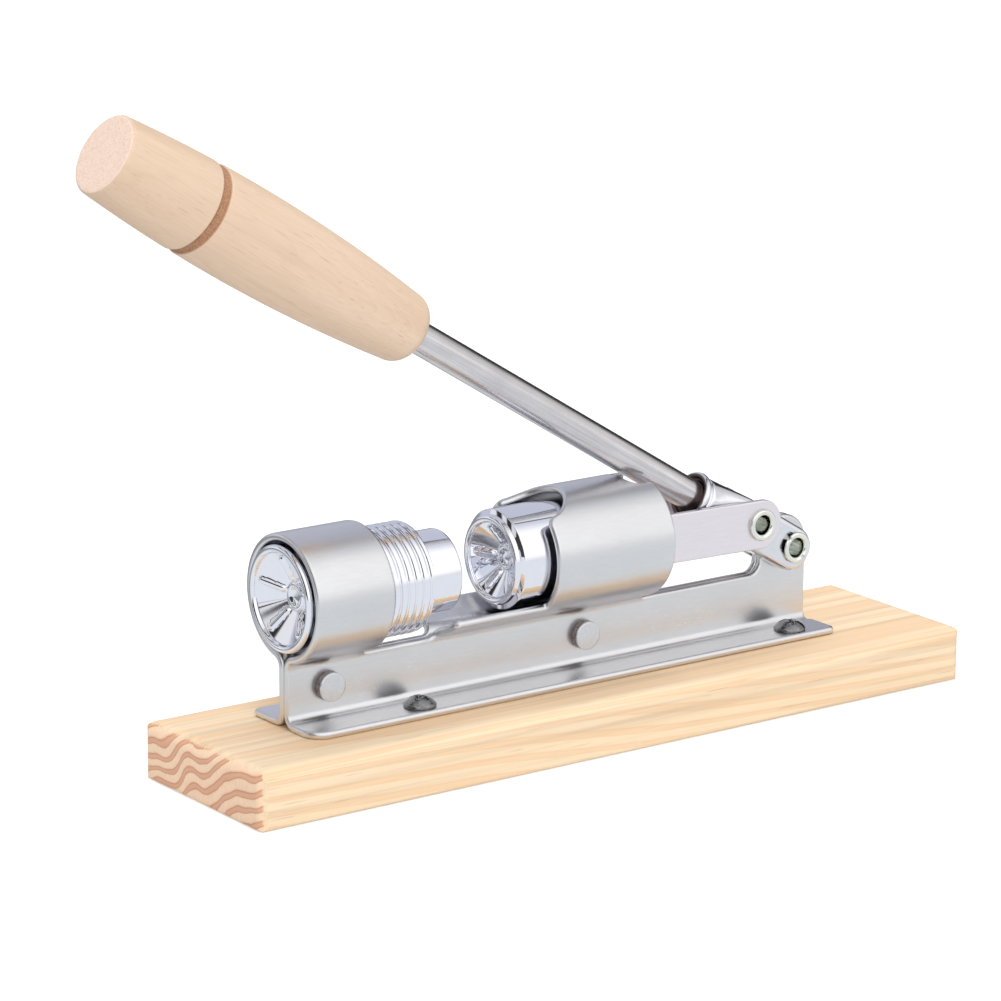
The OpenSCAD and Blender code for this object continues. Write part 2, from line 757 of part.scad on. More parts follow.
// Half section of the handle, from its inner end at Y = 0
module handle_half() {
    nose_at = handle_d / 2 - handle_curve_r
        + sqrt(pow(handle_curve_r, 2) - pow(handle_belly - handle_nose_r, 2));
    end_at = handle_d / 2 - handle_curve_r
        + sqrt(pow(handle_curve_r, 2) - pow(handle_l - handle_end_r - handle_belly, 2));
    groove_at = handle_l - groove_reach;
    difference() {
        intersection() {
            translate([handle_d / 2 - handle_curve_r, handle_belly])
                circle(handle_curve_r, $fn = large_fn);
            square([handle_d, handle_l]);
        }
        difference() {
            translate([nose_at - handle_nose_r, -over])
                square([handle_d, handle_nose_r + over]);
            translate([nose_at - handle_nose_r, handle_nose_r]) circle(handle_nose_r);
        }
        difference() {
            translate([end_at - handle_end_r, handle_l - handle_end_r])
                square([handle_d, handle_end_r + over]);
            translate([end_at - handle_end_r, handle_l - handle_end_r]) circle(handle_end_r);
        }
        translate([handle_d / 2 - groove_depth, groove_at - groove_w / 2])
            square([handle_d, groove_w]);
    }
}

module wood_handle() {
    bore_l = rod_start + rod_l - handle_start;
    color("wheat") on_lever() on_rod(handle_start) difference() {
        rotate_extrude() handle_half();
        translate([0, 0, -over]) cylinder(bore_l + over, rod_d / 2, rod_d / 2);
    }
}

base_board();
frame_shell();
front_rivet();
middle_rivet();
base_screw(0);  // base_screw_1
base_screw(1);  // base_screw_2
base_screw(2);  // base_screw_3
base_screw(3);  // base_screw_4
anvil_screw();
anvil_nose();
ram();
ram_pin();
link_near();
link_far();
link_eyelet();
pivot_eyelet();
lever_yoke();
lever_rod();
wood_handle();
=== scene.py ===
import json
import math

import bmesh
import bpy
from mathutils import Matrix, Vector


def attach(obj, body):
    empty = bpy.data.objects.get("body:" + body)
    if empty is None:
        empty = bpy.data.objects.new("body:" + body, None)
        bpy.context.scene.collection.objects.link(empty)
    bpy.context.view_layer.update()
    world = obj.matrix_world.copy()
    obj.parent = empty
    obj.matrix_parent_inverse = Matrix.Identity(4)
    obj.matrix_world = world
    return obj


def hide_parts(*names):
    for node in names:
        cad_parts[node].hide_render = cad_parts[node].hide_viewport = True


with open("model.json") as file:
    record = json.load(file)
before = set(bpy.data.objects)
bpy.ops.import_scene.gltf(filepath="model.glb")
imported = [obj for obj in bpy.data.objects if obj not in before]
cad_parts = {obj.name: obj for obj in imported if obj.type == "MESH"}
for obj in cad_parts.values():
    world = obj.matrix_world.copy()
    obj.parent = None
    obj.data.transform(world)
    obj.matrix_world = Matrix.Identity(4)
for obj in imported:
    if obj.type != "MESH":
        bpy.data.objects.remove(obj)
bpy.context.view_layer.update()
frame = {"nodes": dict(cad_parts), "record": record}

NODES = frame["nodes"]
MM = 0.001


def srgb(red, green, blue):
    """A colour given as it looks on a screen, in 0 to 255, as Blender's linear values."""
    def linear(c):
        c /= 255
        return c / 12.92 if c <= 0.04045 else ((c + 0.055) / 1.055) ** 2.4
    return (linear(red), linear(green), linear(blue), 1.0)


class Graph:
    """The node tree of a material or a world, with short calls for its nodes."""

    def __init__(self, owner, output="ShaderNodeOutputMaterial"):
        owner.use_nodes = True
        self.owner = owner
        self.tree = owner.node_tree
        self.tree.nodes.clear()
        self.out = self.add(output)

    def add(self, kind, props=None, **sockets):
        """A socket is called by its name, with _ for a space, or by i and its number."""
        node = self.tree.nodes.new(kind)
        for key, value in (props or {}).items():
            setattr(node, key, value)
        for key, value in sockets.items():
            self.set(node, key.replace("_", " "), value)
        return node

    def set(self, node, key, value):
        socket = node.inputs[int(key[1:])] if key[0] == "i" and key[1:].isdigit() else node.inputs[key]
        if isinstance(value, bpy.types.NodeSocket):
            self.tree.links.new(value, socket)
        else:
            socket.default_value = value

    def coords(self, scale=(1, 1, 1), location=(0, 0, 0)):
        tex = self.add("ShaderNodeTexCoord")
        return self.add("ShaderNodeMapping", None, Vector=tex.outputs["Object"], Scale=scale,
                        Location=location).outputs[0]

    def lever_coords(self, scale=(1, 1, 1)):
        """Object coordinates in the lever's own axes: X runs along the rod from the pivot."""
        back = LEVER_AXES.inverted()
        tex = self.add("ShaderNodeTexCoord")
        own = self.add("ShaderNodeMapping", None, Vector=tex.outputs["Object"],
                       Rotation=tuple(back.to_euler()), Location=tuple(back.translation)).outputs[0]
        return self.add("ShaderNodeMapping", None, Vector=own, Scale=scale).outputs[0]

    def noise(self, vector, detail=3.0, rough=0.5):
        return self.add("ShaderNodeTexNoise", None, Vector=vector, Scale=1.0, Detail=detail,
                        Roughness=rough).outputs["Fac"]

    def math(self, operation, a, b=0.0):
        return self.add("ShaderNodeMath", {"operation": operation}, i0=a, i1=b).outputs[0]

    def ramp(self, fac, stops):
        """A stop is a place from 0 to 1 with a colour or a grey."""
        node = self.add("ShaderNodeValToRGB", None, Fac=fac)
        points = node.color_ramp.elements
        while len(points) < len(stops):
            points.new(0.5)
        for point, (place, colour) in zip(points, stops):
            point.position = place
            point.color = colour if hasattr(colour, "__len__") else (colour, colour, colour, 1)
        return node.outputs[0]

    def mix(self, fac, a, b):
        return self.add("ShaderNodeMix", {"data_type": "RGBA"}, i0=fac, i6=a, i7=b).outputs[2]

    def span(self, value, low, high, to_low, to_high):
        return self.add("ShaderNodeMapRange", None, i0=value, i1=low, i2=high, i3=to_low,
                        i4=to_high).outputs[0]

    def bump(self, height, strength=0.2, distance=0.0002, normal=None):
        node = self.add("ShaderNodeBump", None, Height=height, Strength=strength, Distance=distance)
        if normal is not None:
            self.set(node, "Normal", normal)
        return node.outputs[0]

    def soft_edges(self, radius):
        return self.add("ShaderNodeBevel", {"samples": 6}, Radius=radius).outputs[0]

    def surface(self, **sockets):
        shader = self.add("ShaderNodeBsdfPrincipled", None, **sockets)
        self.tree.links.new(shader.outputs[0], self.out.inputs[0])
        return self.owner


# The lever's pivot as (x, z), and the lever's own axes: X runs along the rod from the pivot
PIVOT = (62.4, 34.7)
LEVER_TILT = math.radians(31.5)
LEVER_AXES = Matrix.Translation((PIVOT[0] * MM, 0, PIVOT[1] * MM)) @ Matrix((
    (-math.cos(LEVER_TILT), 0, math.sin(LEVER_TILT)),
    (0, -1, 0),
    (math.sin(LEVER_TILT), 0, math.cos(LEVER_TILT)))).to_4x4()
# How far the rod's axis lies below the pivot's, and from the pivot to the links' pin: length and angle
ROD_DROP = 1.05
CRANK = (14.2, math.radians(33))
# The handle's two ends and the middle of its groove, along the rod
HANDLE_X = (124.5, 215.6)
GROOVE_X = 190.0


def pine():
    """Planed pine: pale and dark layers that run along the board and show as waves at its ends."""
    layer_h, slope, slant = 0.0038, 0.42, 0.055
    wave_h, wave_rate, uneven_l = 0.0011, 360.0, 0.016
    warp_h, comb_h, above_zero, edge_r = 0.0085, 0.0004, 0.1, 0.0006
    g = Graph(bpy.data.materials.new("pine_wood"))
    xyz = g.add("ShaderNodeSeparateXYZ", None, Vector=g.coords())
    x, y, z = xyz.outputs
    # Height of a growth layer in the end grain: it rises towards the near side in soft steps.
    slow = g.noise(g.coords((3.0, 60.0, 60.0)), 2.0)
    warp = g.math("MULTIPLY", g.math("SUBTRACT", slow, 0.5), warp_h)
    uneven = g.math("MULTIPLY", g.noise(g.coords((8.0, 40.0, 40.0)), 2.0), uneven_l)
    wave = g.math("SINE", g.math("MULTIPLY", g.math("ADD", y, uneven), wave_rate))
    steps = g.math("MULTIPLY", wave, wave_h)
    rise = g.math("ADD", z, g.math("MULTIPLY", y, slope))
    height = g.math("ADD", rise, g.math("ADD", steps, warp))
    geometry = g.add("ShaderNodeNewGeometry")
    normal = g.add("ShaderNodeSeparateXYZ", None, Vector=geometry.outputs["Normal"])
    # On the long sides the layers run out of the face at a slant.
    sideways = g.span(g.math("ABSOLUTE", normal.outputs[1]), 0.85, 0.97, 0.0, slant)
    height = g.math("ADD", height, g.math("MULTIPLY", x, sideways))
    comb = g.noise(g.coords((60.0, 2600.0, 500.0)), 2.0, 0.6)
    height = g.math("ADD", height, g.math("MULTIPLY", comb, comb_h))
    phase = g.math("FRACT", g.math("DIVIDE", g.math("ADD", height, above_zero), layer_h))
    # Each dark layer has a line along both its edges.
    layer = g.ramp(phase, [(0.0, 0.1), (0.04, 1.0), (0.1, 0.66), (0.3, 0.6), (0.4, 0.95), (0.45, 0.3),
                           (0.55, 0.06), (0.85, 0.0), (1.0, 0.1)])
    fibre = g.noise(g.coords((10.0, 1500.0, 1500.0)), 3.0, 0.6)
    streak = g.noise(g.coords((7.0, 260.0, 260.0)), 4.0, 0.6)
    fleck = g.ramp(g.noise(g.coords((60.0, 1800.0, 1800.0)), 2.0), [(0.67, 0.0), (0.75, 1.0)])
    greyer = g.noise(g.coords((5.0, 420.0, 420.0), (0.3, 0.1, 0.2)), 3.0, 0.6)
    side = g.mix(g.math("MULTIPLY", layer, g.span(streak, 0.3, 0.7, 0.4, 1.0)),
                 srgb(249, 226, 193), srgb(240, 196, 150))
    side = g.mix(g.span(streak, 0.38, 0.75, 0.0, 0.4), side, srgb(240, 210, 172))
    side = g.mix(g.span(greyer, 0.5, 0.7, 0.0, 0.6), side, srgb(212, 184, 154))
    side = g.mix(g.math("MULTIPLY", fleck, 0.35), side, srgb(184, 128, 84))
    end = g.mix(layer, srgb(252, 222, 192), srgb(204, 134, 98))
    end = g.mix(g.span(comb, 0.42, 0.75, 0.0, 0.4), end, srgb(232, 180, 142))
    ragged = g.math("MULTIPLY", g.math("SUBTRACT", comb, 0.5), 0.5)
    facing = g.math("ADD", g.math("ABSOLUTE", normal.outputs[0]), ragged)
    colour = g.mix(g.span(facing, 0.6, 0.72, 0.0, 1.0), side, end)
    relief = g.math("ADD", g.math("MULTIPLY", fibre, 0.6), g.math("MULTIPLY", layer, -0.5))
    return g.surface(Base_Color=colour, Roughness=g.span(fibre, 0.3, 0.7, 0.42, 0.62),
                     Specular_IOR_Level=0.4,
                     Normal=g.bump(relief, 0.25, 0.00012, g.soft_edges(edge_r)))


def beech():
    """Turned beech: faint grain along the handle, fine pores, a pinkish end and a burnt groove."""
    ring_rate, end_skin, groove_fade = 34.0, 0.12, (0.00105, 0.00125)
    g = Graph(bpy.data.materials.new("beech_wood"))
    at = g.lever_coords
    along = g.add("ShaderNodeSeparateXYZ", None, Vector=at()).outputs[0]
    fibre = g.noise(at((45.0, 2400.0, 2400.0)), 3.0, 0.6)
    pores = g.ramp(g.noise(at((170.0, 3600.0, 3600.0)), 1.0, 0.4), [(0.66, 0.0), (0.76, 1.0)])
    band = g.noise(at((9.0, 110.0, 110.0)), 3.0, 0.5)
    bend = g.noise(at((10.0, 60.0, 60.0)), 1.0)
    rings = g.math("FRACT", g.math("MULTIPLY", bend, ring_rate))
    line = g.ramp(rings, [(0.0, 0.0), (0.75, 0.1), (0.93, 1.0), (1.0, 0.0)])
    base = g.mix(g.span(band, 0.35, 0.7, 0.0, 1.0), srgb(229, 203, 179), srgb(216, 189, 163))
    base = g.mix(g.math("MULTIPLY", line, 0.1), base, srgb(186, 150, 118))
    base = g.mix(g.span(fibre, 0.42, 0.72, 0.0, 0.25), base, srgb(200, 172, 144))
    base = g.mix(g.math("MULTIPLY", pores, 0.3), base, srgb(168, 130, 100))
    speck = g.noise(at((2600.0, 2600.0, 2600.0)), 2.0, 0.6)
    end = g.mix(g.span(speck, 0.35, 0.7, 0.0, 1.0), srgb(249, 226, 210), srgb(234, 203, 183))
    face = g.math("GREATER_THAN", along, (HANDLE_X[1] - end_skin) * MM)
    base = g.mix(face, base, end)
    off = g.math("ABSOLUTE", g.math("SUBTRACT", along, GROOVE_X * MM))
    burnt = g.mix(g.span(speck, 0.3, 0.7, 0.0, 1.0), srgb(190, 146, 114), srgb(150, 106, 76))
    base = g.mix(g.span(off, *groove_fade, 1.0, 0.0), base, burnt)
    relief = g.math("ADD", fibre, g.math("MULTIPLY", pores, -0.6))
    return g.surface(Base_Color=base, Roughness=g.span(fibre, 0.3, 0.7, 0.42, 0.58),
                     Specular_IOR_Level=0.35, Normal=g.bump(relief, 0.18, 0.0001))


def metal(name, colour, rough, spread=0.05, grain=(400, 400, 400), relief=0.05, edge=0.0003,
          mottle=0.08, on_lever=False, painted_shade=None):
    """Plated or drawn metal: fine marks along one direction, cloudy gloss and softened edges.

    rough and spread are the middle and the half range of the roughness, and mottle is how much
    darker the darkest places are. The last argument is a function that gives a mask for the places
    where shade is painted: the metal there is darker and duller.
    """
    # The marks' depth, then the dark colour and added roughness of the painted shade.
    mark_depth, painted_shade_colour, painted_shade_rough = 0.00004, srgb(112, 98, 94), 0.2
    g = Graph(bpy.data.materials.new(name))
    marks = g.noise(g.lever_coords(grain) if on_lever else g.coords(grain), 4.0, 0.6)
    cloud = g.noise(g.coords((70, 70, 70)), 4.0, 0.6)
    gloss = g.span(g.math("ADD", g.math("MULTIPLY", marks, 0.5), g.math("MULTIPLY", cloud, 0.5)),
                   0.35, 0.65, rough - spread, rough + spread)
    dark = tuple(c * (1 - mottle) for c in colour[:3]) + (1,)
    tone = g.math("ADD", g.math("MULTIPLY", marks, 0.6), g.math("MULTIPLY", cloud, 0.4))
    base = g.mix(g.span(tone, 0.35, 0.65, 0.0, 1.0), colour, dark)
    # Painted shade: the masked places get a darker colour and a higher roughness.
    if painted_shade is not None:
        mask = painted_shade(g)
        base = g.mix(mask, base, painted_shade_colour)
        gloss = g.math("ADD", gloss, g.math("MULTIPLY", mask, painted_shade_rough))
    return g.surface(Base_Color=base, Metallic=1.0, Roughness=gloss,
                     Normal=g.bump(marks, relief, mark_depth, g.soft_edges(edge)))


def collar_socket_painted_shade(g):
    """Painted shade in the socket in the yoke's collar, round the rod."""
    start_x, socket_r = 30.3, 5.4
    place = g.add("ShaderNodeSeparateXYZ", None, Vector=g.lever_coords())
    y, z = place.outputs[1], g.math("ADD", place.outputs[2], ROD_DROP * MM)
    radius = g.math("SQRT", g.math("ADD", g.math("MULTIPLY", y, y), g.math("MULTIPLY", z, z)))
    return g.math("MULTIPLY", g.math("GREATER_THAN", place.outputs[0], start_x * MM),
                  g.math("LESS_THAN", radius, socket_r * MM))


def rivet_wall_painted_shade(g):
    """Painted shade on the side walls of the rivets' heads, speckled."""
    top_y = 3.5
    y = g.math("ABSOLUTE", g.add("ShaderNodeSeparateXYZ", None, Vector=g.coords()).outputs[1])
    speck = g.noise(g.coords((1500, 1500, 1500)), 2.0, 0.6)
    return g.math("MULTIPLY", g.math("LESS_THAN", y, top_y * MM), g.span(speck, 0.3, 0.7, 0.7, 1.0))


MATERIALS = {
    "pine_wood": pine(),
    "beech_wood": beech(),
    "plated_sheet": metal("plated_sheet", srgb(224, 224, 226), 0.3, 0.03, (300, 2400, 2400),
                          relief=0.03, edge=0.0001, mottle=0.05),
    # The rivets' head walls get painted shade.
    "rivet_steel": metal("rivet_steel", srgb(222, 222, 225), 0.24, 0.04, (1500, 1500, 1500),
                         painted_shade=rivet_wall_painted_shade),
    "zinc_screw": metal("zinc_screw", srgb(146, 146, 148), 0.15, 0.06, (900, 900, 900), mottle=0.5),
    "cast_chrome": metal("cast_chrome", srgb(238, 239, 246), 0.03, 0.015, relief=0.02, edge=0.0001,
                         mottle=0.03),
    "bright_nickel": metal("bright_nickel", srgb(238, 240, 233), 0.1, 0.03),
    "link_steel": metal("link_steel", srgb(241, 235, 239), 0.34, 0.03, (200, 2400, 2400), relief=0.03,
                        mottle=0.05),
    # The yoke gets painted shade in its collar's socket.
    "yoke_steel": metal("yoke_steel", srgb(232, 232, 237), 0.13, 0.04, painted_shade=collar_socket_painted_shade),
    "rod_steel": metal("rod_steel", srgb(228, 224, 226), 0.24, 0.06, (40, 1700, 1700), 0.08,
                       mottle=0.3, on_lever=True),
}

SLOT_OF = {part["node"]: part["material_slot"] for part in frame["record"]["subparts"]}
BODY_OF = {node: body for body, nodes in frame["record"]["behaviour"]["bodies"].items() for node in nodes}
for node, slot in SLOT_OF.items():
    cad = NODES[node]
    cad.data.materials.clear()
    cad.data.materials.append(MATERIALS[slot])


# Sizes that the finer pieces share with the solids, in millimetres. LEG_Z and TROUGH_Z are heights
# of the sheet's edge, beside the tubes and in the trough. FRAME_X, TUBE2 and SCREW_X go from left to
# right, and ROD_NOTCH holds a length, a half width and a corner radius.
BOARD_H = 13.5
SHEET_T = 1.8
LEG_GAP = 0.08
FRAME_X = (-78.7, 70.5)
FLANGE_HALF = 12.4
BEND_R = 1.8
LEG_Z = 28.5
TUBE_R = 14.65
TUBE_Z = 43.4
TUBE1_END = -58.2
TUBE2 = (-13.4, 20.0)
TROUGH_X = -38.6
TROUGH_Z = 33.3
STEP_R = 2.0
NECK_R = 2.2
EAR_R = 7.0
EAR_CORNER_R = 3.0
THUMB_R = 9.2
ROD_NOTCH = (6.0, 4.9, 3.0)
RIVET_PLACES = {"front_rivet": -67.8, "middle_rivet": 3.0}
RIVET_Z = 22.2
SCREW_X = (-47.1, 60.0)
SCREW_Y = 7.7
ROD_R = 3.75
YOKE_HALF_W = 6.4


def arc(cx, cy, r, start, end, step=6.0):
    """Points on a circle between two angles in degrees."""
    count = max(2, int(abs(end - start) / step) + 1)
    return [(cx + r * math.cos(math.radians(start + (end - start) * i / (count - 1))),
             cy + r * math.sin(math.radians(start + (end - start) * i / (count - 1))))
            for i in range(count)]


def even_steps(start, end, count):
    return [start + (end - start) * i / count for i in range(count + 1)]


class SheetPath:
    """The sheet's middle line across the frame: s runs from the top of the tube to a flange's edge.

    It is negative on the near side. Past the tubes the same line is straight up to the ears.
    """

    def __init__(self):
        half_t = SHEET_T / 2
        leg_mid = LEG_GAP / 2 + half_t
        self.leg_y = leg_mid
        self.ring_r = TUBE_R - half_t
        self.neck_r = NECK_R + half_t
        self.neck_y = LEG_GAP / 2 + SHEET_T + NECK_R
        self.neck_z = TUBE_Z - math.sqrt((TUBE_R + NECK_R) ** 2 - self.neck_y ** 2)
        wedge = math.atan2(self.neck_y, TUBE_Z - self.neck_z)
        self.neck_turn = math.pi / 2 - wedge
        self.bend_r = BEND_R + half_t
        self.bend_y = LEG_GAP / 2 + SHEET_T + BEND_R
        self.bend_z = BOARD_H + SHEET_T + BEND_R
        self.s_neck = self.ring_r * (math.pi - wedge)
        self.s_leg = self.s_neck + self.neck_r * self.neck_turn
        self.s_bend = self.s_leg + self.neck_z - self.bend_z
        self.s_flange = self.s_bend + self.bend_r * math.pi / 2
        self.s_end = self.s_flange + FLANGE_HALF - self.bend_y

    def straight_s(self, z):
        return self.s_bend - (z - self.bend_z)

    def curved_s(self, z):
        """Where the curved sheet has that height, on the tube's lower half, the neck or the leg."""
        if z <= self.neck_z:
            return self.straight_s(z)
        rise = (z - self.neck_z) / self.neck_r
        if rise < math.sin(self.neck_turn):
            return self.s_leg - self.neck_r * math.asin(rise)
        return self.ring_r * (math.pi - math.acos((TUBE_Z - z) / self.ring_r))

    def point(self, s, straight):
        """(y, z) of the middle line and its outward normal."""
        side, a = math.copysign(1, s), abs(s)
        if a < self.s_neck:
            turn = a / self.ring_r
            p = (self.ring_r * math.sin(turn), TUBE_Z + self.ring_r * math.cos(turn))
            n = (math.sin(turn), math.cos(turn))
        elif a < self.s_leg:
            turn = self.neck_turn - (a - self.s_neck) / self.neck_r
            p = (self.neck_y - self.neck_r * math.cos(turn), self.neck_z + self.neck_r * math.sin(turn))
            n = (math.cos(turn), -math.sin(turn))
        elif a < self.s_bend:
            p, n = (self.leg_y, self.bend_z + self.s_bend - a), (1, 0)
        elif a < self.s_flange:
            turn = (a - self.s_bend) / self.bend_r
            p = (self.bend_y - self.bend_r * math.cos(turn), self.bend_z - self.bend_r * math.sin(turn))
            n = (math.cos(turn), math.sin(turn))
        else:
            p, n = (self.bend_y + a - self.s_flange, self.bend_z - self.bend_r), (0, 1)
        if straight > 0 and a < self.s_leg:
            q = (self.leg_y, self.bend_z + self.s_bend - a)
            p = tuple(u + (v - u) * straight for u, v in zip(p, q))
            n = tuple(u + (v - u) * straight for u, v in zip(n, (1, 0)))
            length = math.hypot(*n)
            n = (n[0] / length, n[1] / length)
        return side * p[0], p[1], side * n[0], n[1]


def frame_outlines(path):
    """The flat sheet's outer edge, its large hole and the small holes, as loops of (x, s)."""
    x0, x1 = FRAME_X
    near_r, far_r, right_r, relief, inner_r, trough_r = 5.0, 1.6, 1.6, 1.0, 0.6, 0.7
    step_rise, mouth_r, thumb_corner = 0.5, 1.4, 2.0
    rivet_hole_r, pivot_hole_r, screw_hole_r = 2.35, 2.78, 1.85
    leg_x1 = PIVOT[0] + EAR_R
    s_low, s_rim = path.curved_s(LEG_Z), path.curved_s(TROUGH_Z)
    s_rear, s_pivot = path.straight_s(LEG_Z), path.straight_s(PIVOT[1])
    s_step = path.s_flange - step_rise

    def across(y):
        return path.ring_r * math.asin(min(1.0, y / path.ring_r))

    def left_corner(r):
        return arc(x0 + r, path.s_end - r, r, 180, 90)

    half = arc(x1 - right_r, path.s_end - right_r, right_r, 90, 0)
    half += [(x1, s_step)]
    half += arc(leg_x1 + inner_r, s_step - inner_r, inner_r, 90, 180, 15)
    half += arc(PIVOT[0], s_pivot, EAR_R, 0, -180)
    half += arc(PIVOT[0] - EAR_R - EAR_CORNER_R, s_rear - EAR_CORNER_R, EAR_CORNER_R, 0, 90)
    half += arc(TUBE2[1] + inner_r, s_rear - inner_r, inner_r, 90, 180, 15)
    length, half_w, notch_r = ROD_NOTCH
    half += [(x, across(y)) for x, y in arc(TUBE2[1] - mouth_r, half_w + mouth_r, mouth_r, 0, -90)]
    half += [(x, across(y)) for x, y in
             arc(TUBE2[1] - length + notch_r, half_w - notch_r, notch_r, 90, 180)]
    half += [(TUBE2[1] - length, 0)]
    far, near = left_corner(far_r) + half, left_corner(near_r) + half[:-1]
    outer = [(x0, 0)] + far + [(x, -s) for x, s in reversed(near)]

    hole = [(TUBE1_END, 0)]
    hole += arc(TUBE1_END + relief, s_low - relief, relief, 180, 90, 15)
    low_step = arc(TROUGH_X - STEP_R, LEG_Z + STEP_R, STEP_R, -90, 0, 9)
    high_step = arc(TROUGH_X + STEP_R, TROUGH_Z - STEP_R, STEP_R, 180, 90, 9)
    hole += [(x, path.curved_s(z)) for x, z in low_step + high_step]
    hole += arc(TUBE2[0] - trough_r, s_rim - trough_r, trough_r, 90, 0, 15)
    reach = THUMB_R + thumb_corner
    mouth_y = math.sqrt(reach ** 2 - thumb_corner ** 2)
    touch = math.degrees(math.atan2(mouth_y, thumb_corner))
    hole += [(x, across(y)) for x, y in
             arc(TUBE2[0] + thumb_corner, mouth_y, thumb_corner, 180, 180 + touch, 9)]
    hole += [(x, across(y)) for x, y in arc(TUBE2[0], 0, THUMB_R, touch, 0, 4)][:-1]
    hole += [(TUBE2[0] + THUMB_R, 0)]
    mouth = hole + [(x, -s) for x, s in reversed(hole[1:-1])]

    loops = [outer, mouth]
    for side in (-1, 1):
        holes = [(x, path.straight_s(RIVET_Z), rivet_hole_r) for x in RIVET_PLACES.values()]
        holes += [(PIVOT[0], s_pivot, pivot_hole_r)]
        holes += [(x, path.s_flange + SCREW_Y - path.bend_y, screw_hole_r) for x in SCREW_X]
        loops += [arc(x, side * s, r, 0, 345, 15) for x, s, r in holes]
    return loops


def plate(bm, loops, thickness, edge_r, segments=3):
    """A flat plate with rounded edges: the first loop is its outline and the rest are its holes."""
    same_point, flat, sharp, level = 1e-3, 0.001, 1.2, 1e-6
    for loop in loops:
        clean = [p for p, q in zip(loop, loop[1:] + loop[:1]) if math.dist(p, q) > same_point]
        verts = [bm.verts.new((x, y, -thickness / 2)) for x, y in clean]
        for a, b in zip(verts, verts[1:] + verts[:1]):
            bm.edges.new((a, b))
    bmesh.ops.triangle_fill(bm, use_beauty=True, edges=bm.edges[:], normal=(0, 0, 1))
    bmesh.ops.dissolve_limit(bm, angle_limit=flat, use_dissolve_boundaries=False, verts=bm.verts[:],
                             edges=bm.edges[:])
    lifted = bmesh.ops.extrude_face_region(bm, geom=bm.faces[:])
    bmesh.ops.translate(bm, vec=(0, 0, thickness),
                        verts=[v for v in lifted["geom"] if isinstance(v, bmesh.types.BMVert)])
    bmesh.ops.recalc_face_normals(bm, faces=bm.faces[:])
    rim = [e for e in bm.edges if len(e.link_faces) == 2 and e.calc_face_angle(0) > sharp
           and abs(e.verts[0].co.z - e.verts[1].co.z) < level]
    bmesh.ops.bevel(bm, geom=rim, offset=edge_r, segments=segments, profile=0.5, affect="EDGES",
                    clamp_overlap=False)


def split(bm, places, along):
    """Cuts a mesh's faces square to X or Y at those places, so that they can bend there."""
    for place in places:
        bmesh.ops.bisect_plane(bm, geom=bm.verts[:] + bm.edges[:] + bm.faces[:], dist=1e-5,
                               plane_co=[place * a for a in along], plane_no=along)


def sheet_frame():
    """The frame as it is made: a flat sheet is cut out, its edges are rounded, and it is bent."""
    edge_r, edge_steps, unbend_l = 0.78, 4, 4.0
    ring_turn, bend_turn = 3.5, 9.0
    even_cuts = [0, -30, -70, 40, 55]
    path = SheetPath()
    bm = bmesh.new()
    plate(bm, frame_outlines(path), SHEET_T, edge_r, edge_steps)
    cuts = []
    for side in (-1, 1):
        for start, end, r, turn in ((0, path.s_neck, path.ring_r, ring_turn),
                                    (path.s_neck, path.s_leg, path.neck_r, bend_turn),
                                    (path.s_bend, path.s_flange, path.bend_r, bend_turn)):
            count = max(2, round(math.degrees((end - start) / r) / turn))
            cuts += [side * s for s in even_steps(start, end, count)]
    split(bm, sorted(set(round(c, 5) for c in cuts)), (0, 1, 0))
    split(bm, even_steps(TUBE2[1], TUBE2[1] + unbend_l, 4) + [TUBE2[0], TUBE1_END, TROUGH_X] + even_cuts,
          (1, 0, 0))
    # Past the second tube the curved sheet turns straight over a short length.
    for v in bm.verts:
        x, s, n = v.co
        t = min(1.0, max(0.0, (x - TUBE2[1]) / unbend_l))
        y, z, ny, nz = path.point(s, t * t * (3 - 2 * t))
        v.co = (x, y + ny * n, z + nz * n)
    finish_mesh(bm, "frame_sheet", "frame_shell")


def finish_mesh(bm, name, node, place=None):
    """Makes the piece that stands for a CAD node from a bmesh in millimetres, put in its place."""
    bmesh.ops.recalc_face_normals(bm, faces=bm.faces[:])
    bmesh.ops.scale(bm, vec=(MM, MM, MM), verts=bm.verts)
    if place is not None:
        bmesh.ops.transform(bm, matrix=place, verts=bm.verts)
    for face in bm.faces:
        face.smooth = True
    mesh = bpy.data.meshes.new(name)
    bm.to_mesh(mesh)
    bm.free()
    obj = bpy.data.objects.new(name, mesh)
    bpy.context.scene.collection.objects.link(obj)
    mesh.materials.append(MATERIALS[SLOT_OF[node]])
    weighted = obj.modifiers.new("even_normals", "WEIGHTED_NORMAL")
    weighted.keep_sharp = True
    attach(obj, BODY_OF[node])
    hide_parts(node)


def turned(bm, rings, angles):
    """Rings round the X axis, joined one to the next. A ring is (x, r), or a function of the angle."""
    rows = []
    for ring in rings:
        row = []
        for turn in angles:
            x, r = ring(turn) if callable(ring) else ring
            row.append((x, r * math.cos(turn), r * math.sin(turn)))
        rows.append(row)
    skin(bm, rows)


def skin(bm, rows):
    """Faces between closed rows of points with the same count."""
    rows = [[bm.verts.new(point) for point in row] for row in rows]
    for low, high in zip(rows, rows[1:]):
        for i in range(len(low)):
            j = (i + 1) % len(low)
            bm.faces.new((low[i], low[j], high[j], high[i]))
    bmesh.ops.remove_doubles(bm, verts=bm.verts, dist=1e-4)


def even_angles(count):
    return [2 * math.pi * i / count for i in range(count)]


def on_tube_axis():
    return Matrix.Translation((0, 0, TUBE_Z * MM))


